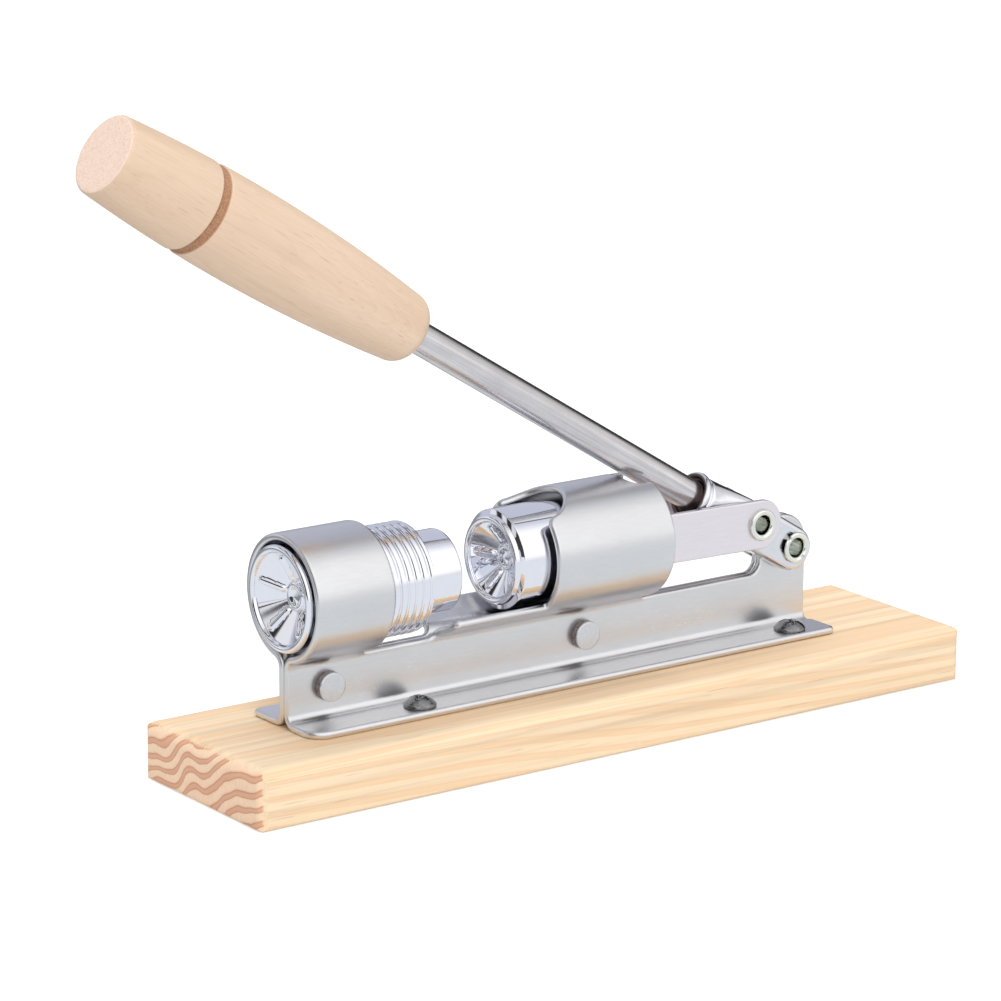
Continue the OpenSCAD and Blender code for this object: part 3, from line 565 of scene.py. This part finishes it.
# The ribbed cups in the anvil, its nose and the ram. The hub on a cup's floor is low and round with a
# dimple: each ring's radius is a share of the floor's, and its rise is in millimetres.
RIBS = 5
RIB_R = 0.85
HUB = ((0.97, 0.16), (0.9, 0.3), (0.8, 0.34), (0.7, 0.24), (0.62, 0.0), (0.5, -0.3), (0.34, -0.48),
       (0.17, -0.56), (0.0, -0.58))


def rib_angles(phase):
    """Angles round a cup, closest together at the ribs."""
    sector, count, crowding = 2 * math.pi / RIBS, 26, 0.75
    shares = [i / count - 0.5 for i in range(count)]
    return [phase + sector * (k + t - crowding * math.sin(2 * math.pi * t) / (2 * math.pi))
            for k in range(RIBS) for t in shares]


def rib_height(turn, r, phase, inner_r, outer_r):
    """How far a round-backed rib stands out of the cone at that angle and radius."""
    sector = 2 * math.pi / RIBS
    off = (turn - phase + sector / 2) % sector - sector / 2
    across, along = r * math.sin(off), r * math.cos(off)
    gap = math.hypot(across, along - min(max(along, inner_r), outer_r))
    return RIB_R * math.sqrt(max(0.0, 1 - (gap / RIB_R) ** 2))


def cup_rings(rim_x, rim_r, lip, depth, floor_r, phase, facing):
    """Rings from the outside of a rim over its bead and down the ribbed cone to the middle.

    facing is -1 where the cup opens towards -X and 1 where it opens towards +X.
    """
    lip_r, mouth_r, count = lip / 2, rim_r - lip, 28
    slope = (depth - lip_r) / (mouth_r - floor_r)
    rings = [(rim_x + facing * z, r) for r, z in arc(rim_r - lip_r, -lip_r, lip_r, 0, 180, 15)]

    def cone(r):
        def ring(turn):
            z = lip_r + slope * (mouth_r - r)
            z -= rib_height(turn, r, phase, floor_r + RIB_R, mouth_r - 2 * RIB_R)
            return rim_x - facing * z, r
        return ring

    rings += [cone(r) for r in even_steps(mouth_r, floor_r, count)[1:]]
    return rings + [(rim_x - facing * (depth - rise), floor_r * share) for share, rise in HUB]


# The anvil's two ends on the tubes' axis, and its thread
ANVIL_X = (-79.8, -46.4)
THREAD_R, THREAD_DEPTH, THREAD_PITCH = 12.75, 0.8, 2.0


def thread(bm, x0, x1, angles):
    """A helical thread with wide round crests and narrow roots."""
    steps = 10
    start = angles[0]
    rows = []
    for j in range(int((x1 - x0) / THREAD_PITCH + 2) * steps + 1):
        crest = math.sqrt(1 - (2 * (j % steps) / steps - 1) ** 2)
        row = []
        for turn in angles:
            x = x0 + THREAD_PITCH * (j / steps - 1 + (turn - start) / (2 * math.pi))
            r = THREAD_R - THREAD_DEPTH * (1 - crest)
            if not x0 < x < x1:
                x, r = min(max(x, x0), x1), THREAD_R - THREAD_DEPTH
            row.append(bm.verts.new((x, r * math.cos(turn), r * math.sin(turn))))
        rows.append(row)
    last = len(angles) - 1
    for j in range(len(rows) - 1):
        for i in range(last):
            bm.faces.new((rows[j][i], rows[j][i + 1], rows[j + 1][i + 1], rows[j + 1][i]))
        if j + 1 + steps < len(rows):
            bm.faces.new((rows[j][last], rows[j + steps][0], rows[j + 1 + steps][0], rows[j + 1][last]))
    bmesh.ops.remove_doubles(bm, verts=bm.verts, dist=1e-4)


def anvil_piece():
    """The anvil's screw: a ribbed cup in its outer end, the thread, and a bore for the nose's spigot."""
    x0, x1 = ANVIL_X
    rim_r, rim_l, rim_edge = 12.2, 3.4, 0.3
    lip, cup_depth, floor_r, phase = 1.8, 4.7, 3.2, math.radians(15)
    bore_r, bore_l, bore_edge = 5.08, 12.0, 0.2
    core_r, thread_x, bore_x = THREAD_R - THREAD_DEPTH, x0 + rim_l, x1 - bore_l
    angles = rib_angles(phase)
    cup = cup_rings(x0, rim_r, lip, cup_depth, floor_r, phase, -1)
    bm = bmesh.new()
    turned(bm, cup[::-1] + [(thread_x - rim_edge, rim_r), (thread_x, core_r)], angles)
    thread(bm, thread_x, x1, angles)
    turned(bm, [(x1, core_r), (x1, bore_r + bore_edge), (x1 - bore_edge, bore_r), (bore_x, bore_r),
                (bore_x, 0)], angles)
    finish_mesh(bm, "anvil_with_thread", "anvil_screw", on_tube_axis())


def nose_piece():
    """The anvil's nose: a ribbed cup towards the nut, and the spigot that the screw turns on."""
    tip_x, back_x, r, back_edge = -36.5, ANVIL_X[1], 9.6, 0.4
    spigot_x, spigot_r, root_edge, end_edge = -57.4, 5.0, 0.1, 0.5
    lip, cup_depth, floor_r, phase = 1.6, 4.6, 3.0, math.radians(69)
    rings = cup_rings(tip_x, r, lip, cup_depth, floor_r, phase, 1)[::-1]
    rings += [(back_x + back_edge, r), (back_x, r - back_edge), (back_x, spigot_r + root_edge),
              (back_x - root_edge, spigot_r), (spigot_x + end_edge, spigot_r),
              (spigot_x, spigot_r - end_edge), (spigot_x, 0)]
    bm = bmesh.new()
    turned(bm, rings, rib_angles(phase))
    finish_mesh(bm, "anvil_nose_cup", "anvil_nose", on_tube_axis())


def ram_piece():
    """The ram: a ribbed cup in front of a shoulder, a round body, and a tail with two flats."""
    x0, rim_r, body_r = -22.6, 10.4, 11.6
    shoulder = ((1.15, rim_r), (1.25, rim_r + 0.1), (1.75, body_r - 0.15), (1.95, body_r), (2.2, body_r))
    flat_x, flat_y, flat_lead, flat_step, tail_x = -2.7, 6.4, 0.3, 0.01, 13.0
    tail = ((0.6, 0.0), (0.2, 0.2), (0.0, 0.6))
    lip, cup_depth, floor_r, phase = 1.7, 4.6, 3.0, math.radians(3)
    rings = cup_rings(x0, rim_r, lip, cup_depth, floor_r, phase, -1)[::-1]
    rings += [(x0 + back, r) for back, r in shoulder]
    rings += [(flat_x - flat_lead, body_r), (flat_x, body_r), (flat_x + flat_step, body_r)]
    rings += [(tail_x - inset, body_r - drop) for inset, drop in tail] + [(tail_x, 0)]
    bm = bmesh.new()
    turned(bm, rings, rib_angles(phase))
    for v in bm.verts:
        if v.co.x > flat_x + flat_step / 2:
            v.co.y = min(max(v.co.y, -flat_y), flat_y)
    finish_mesh(bm, "ram_with_cup", "ram", on_tube_axis())


def rod_axis():
    return LEVER_AXES @ Matrix.Translation((0, 0, -ROD_DROP * MM))


def handle_piece():
    """A turned handle: a round nose, one long curve with a burnt groove, and a flat end."""
    x0, x1 = HANDLE_X
    belly, curve_r, r_max = x0 + 52.3, 440, 10.9
    nose_r, end_r, bore_l, bore_edge, bore_soft = 4.0, 0.8, 6.0, 0.5, 0.15
    groove_half, groove_deep, groove_gap = 1.2, 0.9, 0.3
    groove_wall = [(0.0, 0.12), (0.25, groove_deep * 0.7), (0.7, groove_deep)]
    end_shares = (0.93, 0.6, 0.3, 0.0)

    def radius(x):
        return r_max - curve_r + math.sqrt(curve_r ** 2 - (x - belly) ** 2)

    start, end = x0 + nose_r, x1 - end_r
    g0, g1 = GROOVE_X - groove_half, GROOVE_X + groove_half
    rings = [(x0 + bore_l, ROD_R), (x0 + bore_edge, ROD_R), (x0 + bore_soft, ROD_R + bore_soft),
             (x0, ROD_R + bore_edge)]
    rings += arc(start, radius(start) - nose_r, nose_r, 180, 90, 9)
    rings += [(x, radius(x)) for x in even_steps(start, g0 - groove_gap, 24)[1:]]
    rings += [(g0 + inset, radius(g0) - deep) for inset, deep in groove_wall]
    rings += [(GROOVE_X, radius(GROOVE_X) - groove_deep)]
    rings += [(g1 - inset, radius(g1) - deep) for inset, deep in reversed(groove_wall)]
    rings += [(x, radius(x)) for x in even_steps(g1 + groove_gap, end, 14)]
    top = radius(end) - end_r
    rings += arc(end, top, end_r, 90, 0, 18)[1:]
    rings += [(x1, top * share) for share in end_shares]
    bm = bmesh.new()
    turned(bm, rings, even_angles(96))
    finish_mesh(bm, "turned_handle", "wood_handle", rod_axis())


def rod_piece():
    """The drawn rod, from inside the yoke's neck to inside the handle."""
    x0, x1, edge, even_l = 18.0, 158.0, 0.3, 20.0
    bm = bmesh.new()
    turned(bm, [(x0, 0), (x0, ROD_R - edge), (x0 + edge, ROD_R), (x0 + even_l, ROD_R),
                (x1 - even_l, ROD_R), (x1 - edge, ROD_R), (x1, ROD_R - edge), (x1, 0)], even_angles(64))
    finish_mesh(bm, "drawn_rod", "lever_rod", rod_axis())


def yoke_piece():
    """The clevis: a rounded tail with a slot, two cheeks that run into a round neck, and a collar."""
    half_h, drop, tail_inset, square, taper_x = 5.4, 0.5, 1.3, 9, 18.0
    cheek_x = (6.0, 12.0, taper_x)
    neck_x, neck_r, neck_edge, groove_gap, groove_r = 29.0, 5.6, 0.12, 0.2, 5.1
    collar_x, collar_t, collar_r = 29.8, 1.9, 6.0
    socket_r, socket_l, end_gap = ROD_R + 0.01, 4.0, 0.01
    slot_x, slot_y, hole_r, tall = 7.6, 2.2, 2.76, 20.0
    angles = even_angles(96)
    centre = ROD_DROP - drop

    def section(x, mid, width, height, power):
        """A closed curve round the X axis: an ellipse at power 2, nearly a rectangle at 9."""
        row = []
        for turn in angles:
            y, z = math.cos(turn), math.sin(turn)
            r = ((abs(y) / width) ** power + (abs(z) / height) ** power) ** (-1 / power)
            row.append((x, r * y, mid + r * z))
        return row

    rows = [section(-half_h * math.cos(t), centre, YOKE_HALF_W - tail_inset * (1 - math.sin(t)) ** 2,
                    max(end_gap, half_h * math.sin(t)), square) for t in even_steps(0, math.pi / 2, 14)]
    rows += [section(x, centre, YOKE_HALF_W, half_h, square) for x in cheek_x]
    for t in even_steps(0, 1, 14)[1:]:
        rows.append(section(taper_x + (neck_x - taper_x) * t, centre * (1 - t),
                            YOKE_HALF_W + (neck_r - YOKE_HALF_W) * t, half_h + (neck_r - half_h) * t,
                            2 + (square - 2) * (1 - t) ** 2))
    roll, end_x = collar_t / 2, collar_x + collar_t
    profile = [(neck_x + neck_edge, neck_r - neck_edge), (neck_x + groove_gap, groove_r),
               (collar_x, groove_r)]
    profile += arc(collar_x + roll, collar_r - roll, roll, 180, 0, 18)
    # The hollow in the collar's end narrows in steps to the socket.
    profile += [(end_x - deep, r) for deep, r in ((0.25, collar_r - roll - 0.25), (0.7, 4.6), (1.2, 4.2),
                                                  (1.2, socket_r))]
    profile += [(neck_x - socket_l, socket_r), (neck_x - socket_l, end_gap)]
    rows += [section(x, 0, r, r, 2) for x, r in profile]
    bm = bmesh.new()
    skin(bm, rows)
    bmesh.ops.holes_fill(bm, edges=bm.edges[:])
    box = bmesh.new()
    bmesh.ops.create_cube(box, size=1)
    bmesh.ops.scale(box, vec=(slot_x + tall, 2 * slot_y, 2 * tall), verts=box.verts)
    bmesh.ops.translate(box, vec=((slot_x - tall) / 2, 0, 0), verts=box.verts)
    cutters = [box]
    lead = CRANK[1] - LEVER_TILT
    for dist in (0, CRANK[0]):
        hole = bmesh.new()
        turned(hole, [(-tall, 0), (-tall, hole_r), (tall, hole_r), (tall, 0)], even_angles(48))
        centre_at = Matrix.Translation((dist * math.cos(lead), 0, ROD_DROP + dist * math.sin(lead)))
        bmesh.ops.transform(hole, verts=hole.verts, matrix=centre_at @ Matrix.Rotation(math.pi / 2, 4, "Z"))
        cutters.append(hole)
    finish_mesh(cut(bm, cutters), "clevis_yoke", "lever_yoke", rod_axis())


def cut(bm, cutters):
    """Takes the cutters' volumes out of a closed mesh and gives the new mesh back."""
    def holder(part):
        bmesh.ops.recalc_face_normals(part, faces=part.faces[:])
        mesh = bpy.data.meshes.new("cut")
        part.to_mesh(mesh)
        part.free()
        obj = bpy.data.objects.new("cut", mesh)
        bpy.context.scene.collection.objects.link(obj)
        return obj

    body, tools = holder(bm), [holder(part) for part in cutters]
    for tool in tools:
        boolean = body.modifiers.new("cut", "BOOLEAN")
        boolean.operation, boolean.solver, boolean.object = "DIFFERENCE", "EXACT", tool
    result = bmesh.new()
    result.from_object(body, bpy.context.evaluated_depsgraph_get())
    for obj in [body] + tools:
        mesh = obj.data
        bpy.data.objects.remove(obj)
        bpy.data.meshes.remove(mesh)
    return result


def across_frame(x, z):
    """Places a piece turned about its X axis so that this axis runs along Y through (x, z)."""
    return Matrix.Translation((x * MM, 0, z * MM)) @ Matrix.Rotation(math.pi / 2, 4, "Z")


def rivet_piece(node, x):
    """A rivet with a flat head on each leg."""
    leg_y, head_r, head_h, edge, shank_r, foot_edge = 1.9, 3.4, 2.0, 0.35, 2.3, 0.1
    dish, dish_shares = 0.03, (0.8, 0.78, 0.4, 0.0)
    head = [(leg_y, shank_r), (leg_y, head_r - foot_edge), (leg_y + foot_edge, head_r)]
    head += arc(leg_y + head_h - edge, head_r - edge, edge, 90, 0, 22.5)
    head += [(leg_y + head_h - dish, head_r * share) for share in dish_shares]
    bm = bmesh.new()
    turned(bm, [(-y, r) for y, r in reversed(head)] + head, even_angles(48))
    finish_mesh(bm, node + "_turned", node, across_frame(x, RIVET_Z))


# An eyelet's rolled head: each ring's rise over the plate under it, and its radius
EYELET_HEAD = ((0.0, 2.7), (0.0, 3.3), (0.28, 3.36), (0.36, 3.7), (0.5, 3.8), (0.72, 3.74), (0.88, 3.5),
               (0.94, 3.15), (0.88, 2.8), (0.7, 2.52), (0.4, 2.34), (-0.1, 2.22), (-1.2, 2.1))


def eyelet_piece(node, x, z, half_w, splits=()):
    """A hollow rivet whose two ends are rolled over; a split is a gap in the roll."""
    shank_r, split_rise, split_r = EYELET_HEAD[0][1], 0.05, 0.2
    half_gap, clear_share = math.radians(8), 1.2
    gap_shares = (-1.05, -0.95, -0.3, 0.3, 0.95, 1.05)
    angles = set(even_angles(48))
    for split_turn in splits:
        angles = {a for a in angles if abs(a - split_turn) > half_gap * clear_share}
        angles |= {split_turn + half_gap * share for share in gap_shares}

    def ring(side, rise, r):
        def at(turn):
            if r > shank_r and any(abs(turn - split_turn) < half_gap for split_turn in splits):
                return side * (half_w + min(rise, split_rise)), min(r, shank_r + split_r)
            return side * (half_w + rise), r
        return at

    rings = [ring(-1, rise, r) for rise, r in reversed(EYELET_HEAD)]
    rings += [ring(1, rise, r) for rise, r in EYELET_HEAD]
    bm = bmesh.new()
    turned(bm, rings + rings[:1], sorted(angles))
    finish_mesh(bm, node + "_rolled", node, across_frame(x, z))


def screw_piece(node, x, y, turn):
    """A wood screw with a low domed head and a cross recess."""
    shank_r, length, tip = 1.8, 12.0, 3.6
    head_r, head_edge, wall_h, dome_z, dome_h, dome_power = 3.75, 0.15, 0.5, 0.6, 1.8, 2.4
    arm_w, arm_l, soft, arm_deep, arm_slope = 0.62, 2.3, 0.22, 1.5, 0.28

    def inside(value, limit):
        t = min(1.0, max(0.0, (limit - abs(value)) / soft + 0.5))
        return t * t * (3 - 2 * t)

    def dome(r):
        def at(a):
            u, v = r * math.cos(a - turn), r * math.sin(a - turn)
            cross = max(inside(u, arm_w) * inside(v, arm_l), inside(v, arm_w) * inside(u, arm_l))
            rise = dome_z + dome_h * (1 - (r / head_r) ** dome_power)
            return rise - cross * (arm_deep - arm_slope * r), r
        return at

    rings = [(-length, 0), (tip - length, shank_r), (0, shank_r), (0, head_r - head_edge),
             (head_edge, head_r), (wall_h, head_r)]
    rings += [dome(r) for r in even_steps(head_r, 0, 26)[1:]]
    bm = bmesh.new()
    turned(bm, rings, even_angles(96))
    place = Matrix.Translation((x * MM, y * MM, (BOARD_H + SHEET_T) * MM))
    finish_mesh(bm, node + "_cross", node, place @ Matrix.Rotation(-math.pi / 2, 4, "Y"))


# The links, from the ram's pin to the pin in the lever's crank
LINK_L, LINK_T, LINK_Y = 45.5, 1.5, 7.45
LINK_PIN = (PIVOT[0] - CRANK[0] * math.cos(CRANK[1]), PIVOT[1] + CRANK[0] * math.sin(CRANK[1]))
LINK_TILT = math.asin((LINK_PIN[1] - TUBE_Z) / LINK_L)
RAM_PIN_X = LINK_PIN[0] - LINK_L * math.cos(LINK_TILT)


def link_piece(node, side):
    """A flat bar with round ends, two holes and softened edges."""
    half_w, hole_r, edge_r = 5.9, 2.75, 0.35
    bm = bmesh.new()
    outline = arc(LINK_L, 0, half_w, -90, 90, 5) + arc(0, 0, half_w, 90, 270, 5)
    plate(bm, [outline] + [arc(x, 0, hole_r, 0, 345, 15) for x in (0, LINK_L)], LINK_T, edge_r)
    place = Matrix.Translation((RAM_PIN_X * MM, side * LINK_Y * MM, TUBE_Z * MM))
    place = place @ Matrix.Rotation(-LINK_TILT, 4, "Y") @ Matrix.Rotation(math.pi / 2, 4, "X")
    finish_mesh(bm, node + "_plate", node, place)


sheet_frame()
anvil_piece()
nose_piece()
ram_piece()
handle_piece()
rod_piece()
yoke_piece()
for node, x in RIVET_PLACES.items():
    rivet_piece(node, x)
FIRST_TURN, TURN_STEP = 0.5, 1.1
for i in range(4):
    side = -1 if i % 2 == 0 else 1
    screw_piece("base_screw_%d" % (i + 1), SCREW_X[i // 2], side * SCREW_Y, FIRST_TURN + TURN_STEP * i)
LINKS_HALF_W = LINK_Y + LINK_T / 2
eyelet_piece("ram_pin", RAM_PIN_X, TUBE_Z, LINKS_HALF_W)
eyelet_piece("link_eyelet", *LINK_PIN, LINKS_HALF_W)
eyelet_piece("pivot_eyelet", *PIVOT, YOKE_HALF_W, (math.radians(48), math.radians(235)))
link_piece("link_near", -1)
link_piece("link_far", 1)


def floor_piece():
    """A white floor that the camera sees as pale, with the object's shadow, and that metal mirrors."""
    half, white, glow = 3.0, (1, 1, 1, 1), 0.35
    mirrored_colour, mirrored_near, mirrored_far, fade_y = (0.93, 0.97, 1.0, 1), 0.92, 0.3, (0.05, 0.16)
    mesh = bpy.data.meshes.new("floor")
    mesh.from_pydata([(-half, -half, 0), (half, -half, 0), (half, half, 0), (-half, half, 0)],
                     [], [(0, 1, 2, 3)])
    floor = bpy.data.objects.new("floor", mesh)
    bpy.context.scene.collection.objects.link(floor)
    g = Graph(bpy.data.materials.new("floor_white"))
    diffuse = g.add("ShaderNodeBsdfDiffuse", None, Color=(0.8, 0.8, 0.8, 1))
    glowing = g.add("ShaderNodeEmission", None, Color=white, Strength=glow)
    lit = g.add("ShaderNodeAddShader", None, i0=diffuse.outputs[0], i1=glowing.outputs[0])
    path = g.add("ShaderNodeLightPath")
    y = g.add("ShaderNodeSeparateXYZ", None, Vector=g.coords()).outputs[1]
    mirrored = g.add("ShaderNodeEmission", None, Color=mirrored_colour,
                     Strength=g.span(y, *fade_y, mirrored_near, mirrored_far))
    unseen = g.add("ShaderNodeMixShader", None, Fac=path.outputs["Is Glossy Ray"],
                   i1=diffuse.outputs[0], i2=mirrored.outputs[0])
    both = g.add("ShaderNodeMixShader", None, Fac=path.outputs["Is Camera Ray"],
                 i1=unseen.outputs[0], i2=lit.outputs[0])
    g.tree.links.new(both.outputs[0], g.out.inputs[0])
    mesh.materials.append(g.owner)


def world_light():
    """A white background, plain light, and a ring of pale and dark cards that only metal mirrors."""
    plain_strength, white = 0.62, (1, 1, 1, 1)
    world = bpy.data.worlds.new("studio")
    bpy.context.scene.world = world
    w = Graph(world, "ShaderNodeOutputWorld")
    tex = w.add("ShaderNodeTexCoord")
    direction = w.add("ShaderNodeSeparateXYZ", None, Vector=tex.outputs["Generated"])
    # Turn about X: 0 is the front horizon, 90 the zenith and 180 the horizon behind the object.
    # A card's edge is that angle with its grey or colour.
    turn = w.math("ARCTAN2", direction.outputs[2], w.math("MULTIPLY", direction.outputs[1], -1.0))
    cool = (0.6, 0.62, 0.72, 1)
    cards = [(-180, 0.3), (-176, 0.8), (-2, 0.8), (4, 1.0), (14, 1.3), (60, 1.3), (72, 1.1),
             (86, (0.76, 0.78, 0.84, 1)), (92, (0.7, 0.72, 0.78, 1)), (93, 0.12), (95, 0.12), (96, 0.9),
             (98, 0.9), (99, 0.03), (105, 0.03), (107, cool), (150, cool), (172, cool), (178, 0.3)]
    right_cards = [(-180, 0.05), (-174, 0.9), (-2, 0.95), (8, 1.2), (20, 0.95), (60, 0.85), (90, 0.7),
                   (112, 0.6), (124, 0.03), (180, 0.03)]
    slots = [(121, 0.8), (123, 0.04), (132, 0.04), (134, 0.8), (141, 0.85), (143, 0.04), (150, 0.04),
             (152, 0.9), (180, 0.9)]
    left_cards = [(-180, 0.85), (-2, 0.85), (4, 1.0), (14, 1.2), (60, 1.2), (72, 1.0), (92, 0.7),
                  (95, 0.05), (104, 0.05), (106, 0.75)] + slots
    far_left_cards = [(-180, 0.85), (-24, 0.85), (-18, 0.06), (106, 0.05), (108, 0.75)] + slots

    def ring(stops):
        return w.ramp(w.span(turn, -math.pi, math.pi, 0.0, 1.0),
                      [(0.5 + angle / 360, colour) for angle, colour in stops])

    # Each ring of cards takes over from the last one past a direction's share of X.
    x = direction.outputs[0]
    sky = w.mix(w.span(x, 0.6, 0.68, 0.0, 1.0), ring(cards), ring(right_cards))
    sky = w.mix(w.span(x, -0.38, -0.3, 1.0, 0.0), sky, ring(left_cards))
    sky = w.mix(w.span(x, -0.82, -0.76, 1.0, 0.0), sky, ring(far_left_cards))
    path = w.add("ShaderNodeLightPath")
    reflected = w.add("ShaderNodeBackground", None, Color=sky, Strength=1.0)
    plain_light = w.add("ShaderNodeBackground", None, Color=white, Strength=plain_strength)
    seen = w.add("ShaderNodeBackground", None, Color=white, Strength=1.0)
    first = w.add("ShaderNodeMixShader", None, Fac=path.outputs["Is Glossy Ray"],
                  i1=plain_light.outputs[0], i2=reflected.outputs[0])
    last = w.add("ShaderNodeMixShader", None, Fac=path.outputs["Is Camera Ray"],
                 i1=first.outputs[0], i2=seen.outputs[0])
    w.tree.links.new(last.outputs[0], w.out.inputs[0])


def lamp(name, place, size, watts):
    """A soft rectangular lamp that is aimed at the object and stays out of its reflections."""
    aim = Vector((0, 0, 0.05))
    data = bpy.data.lights.new(name, "AREA")
    data.shape = "RECTANGLE"
    data.size, data.size_y = size
    data.energy = watts
    obj = bpy.data.objects.new(name, data)
    obj.location = place
    obj.rotation_euler = (aim - Vector(place)).to_track_quat("-Z", "Y").to_euler()
    obj.visible_glossy = False
    bpy.context.scene.collection.objects.link(obj)


def camera():
    """The photograph's viewpoint, fitted to the base and the tubes."""
    azimuth, elevation, roll = (math.radians(a) for a in (-36.1003, 14.5607, 0.3418))
    aside, above, distance = -0.015474, 0.052325, 1.013696
    focal_px, picture_px, sensor_mm = 4369.97, 1001, 36
    back = Vector((math.sin(azimuth) * math.cos(elevation), -math.cos(azimuth) * math.cos(elevation),
                   math.sin(elevation)))
    right = Vector((math.cos(azimuth), math.sin(azimuth), 0))
    up = back.cross(right)
    rolled_right = math.cos(roll) * right + math.sin(roll) * up
    rolled_up = -math.sin(roll) * right + math.cos(roll) * up
    data = bpy.data.cameras.new("camera")
    data.sensor_width = sensor_mm
    data.lens = focal_px / picture_px * sensor_mm
    obj = bpy.data.objects.new("camera", data)
    turn = Matrix((rolled_right, rolled_up, back)).transposed()
    place = aside * rolled_right + above * rolled_up + distance * back
    obj.matrix_world = Matrix.Translation(place) @ turn.to_4x4()
    bpy.context.scene.collection.objects.link(obj)
    bpy.context.scene.camera = obj


floor_piece()
world_light()
lamp("key_softbox", (-0.5, -1.1, 1.0), (0.9, 0.6), 11)
lamp("top_softbox", (0.2, 0.3, 1.4), (1.0, 0.8), 7)
camera()
bpy.context.scene.view_settings.view_transform = "Standard"
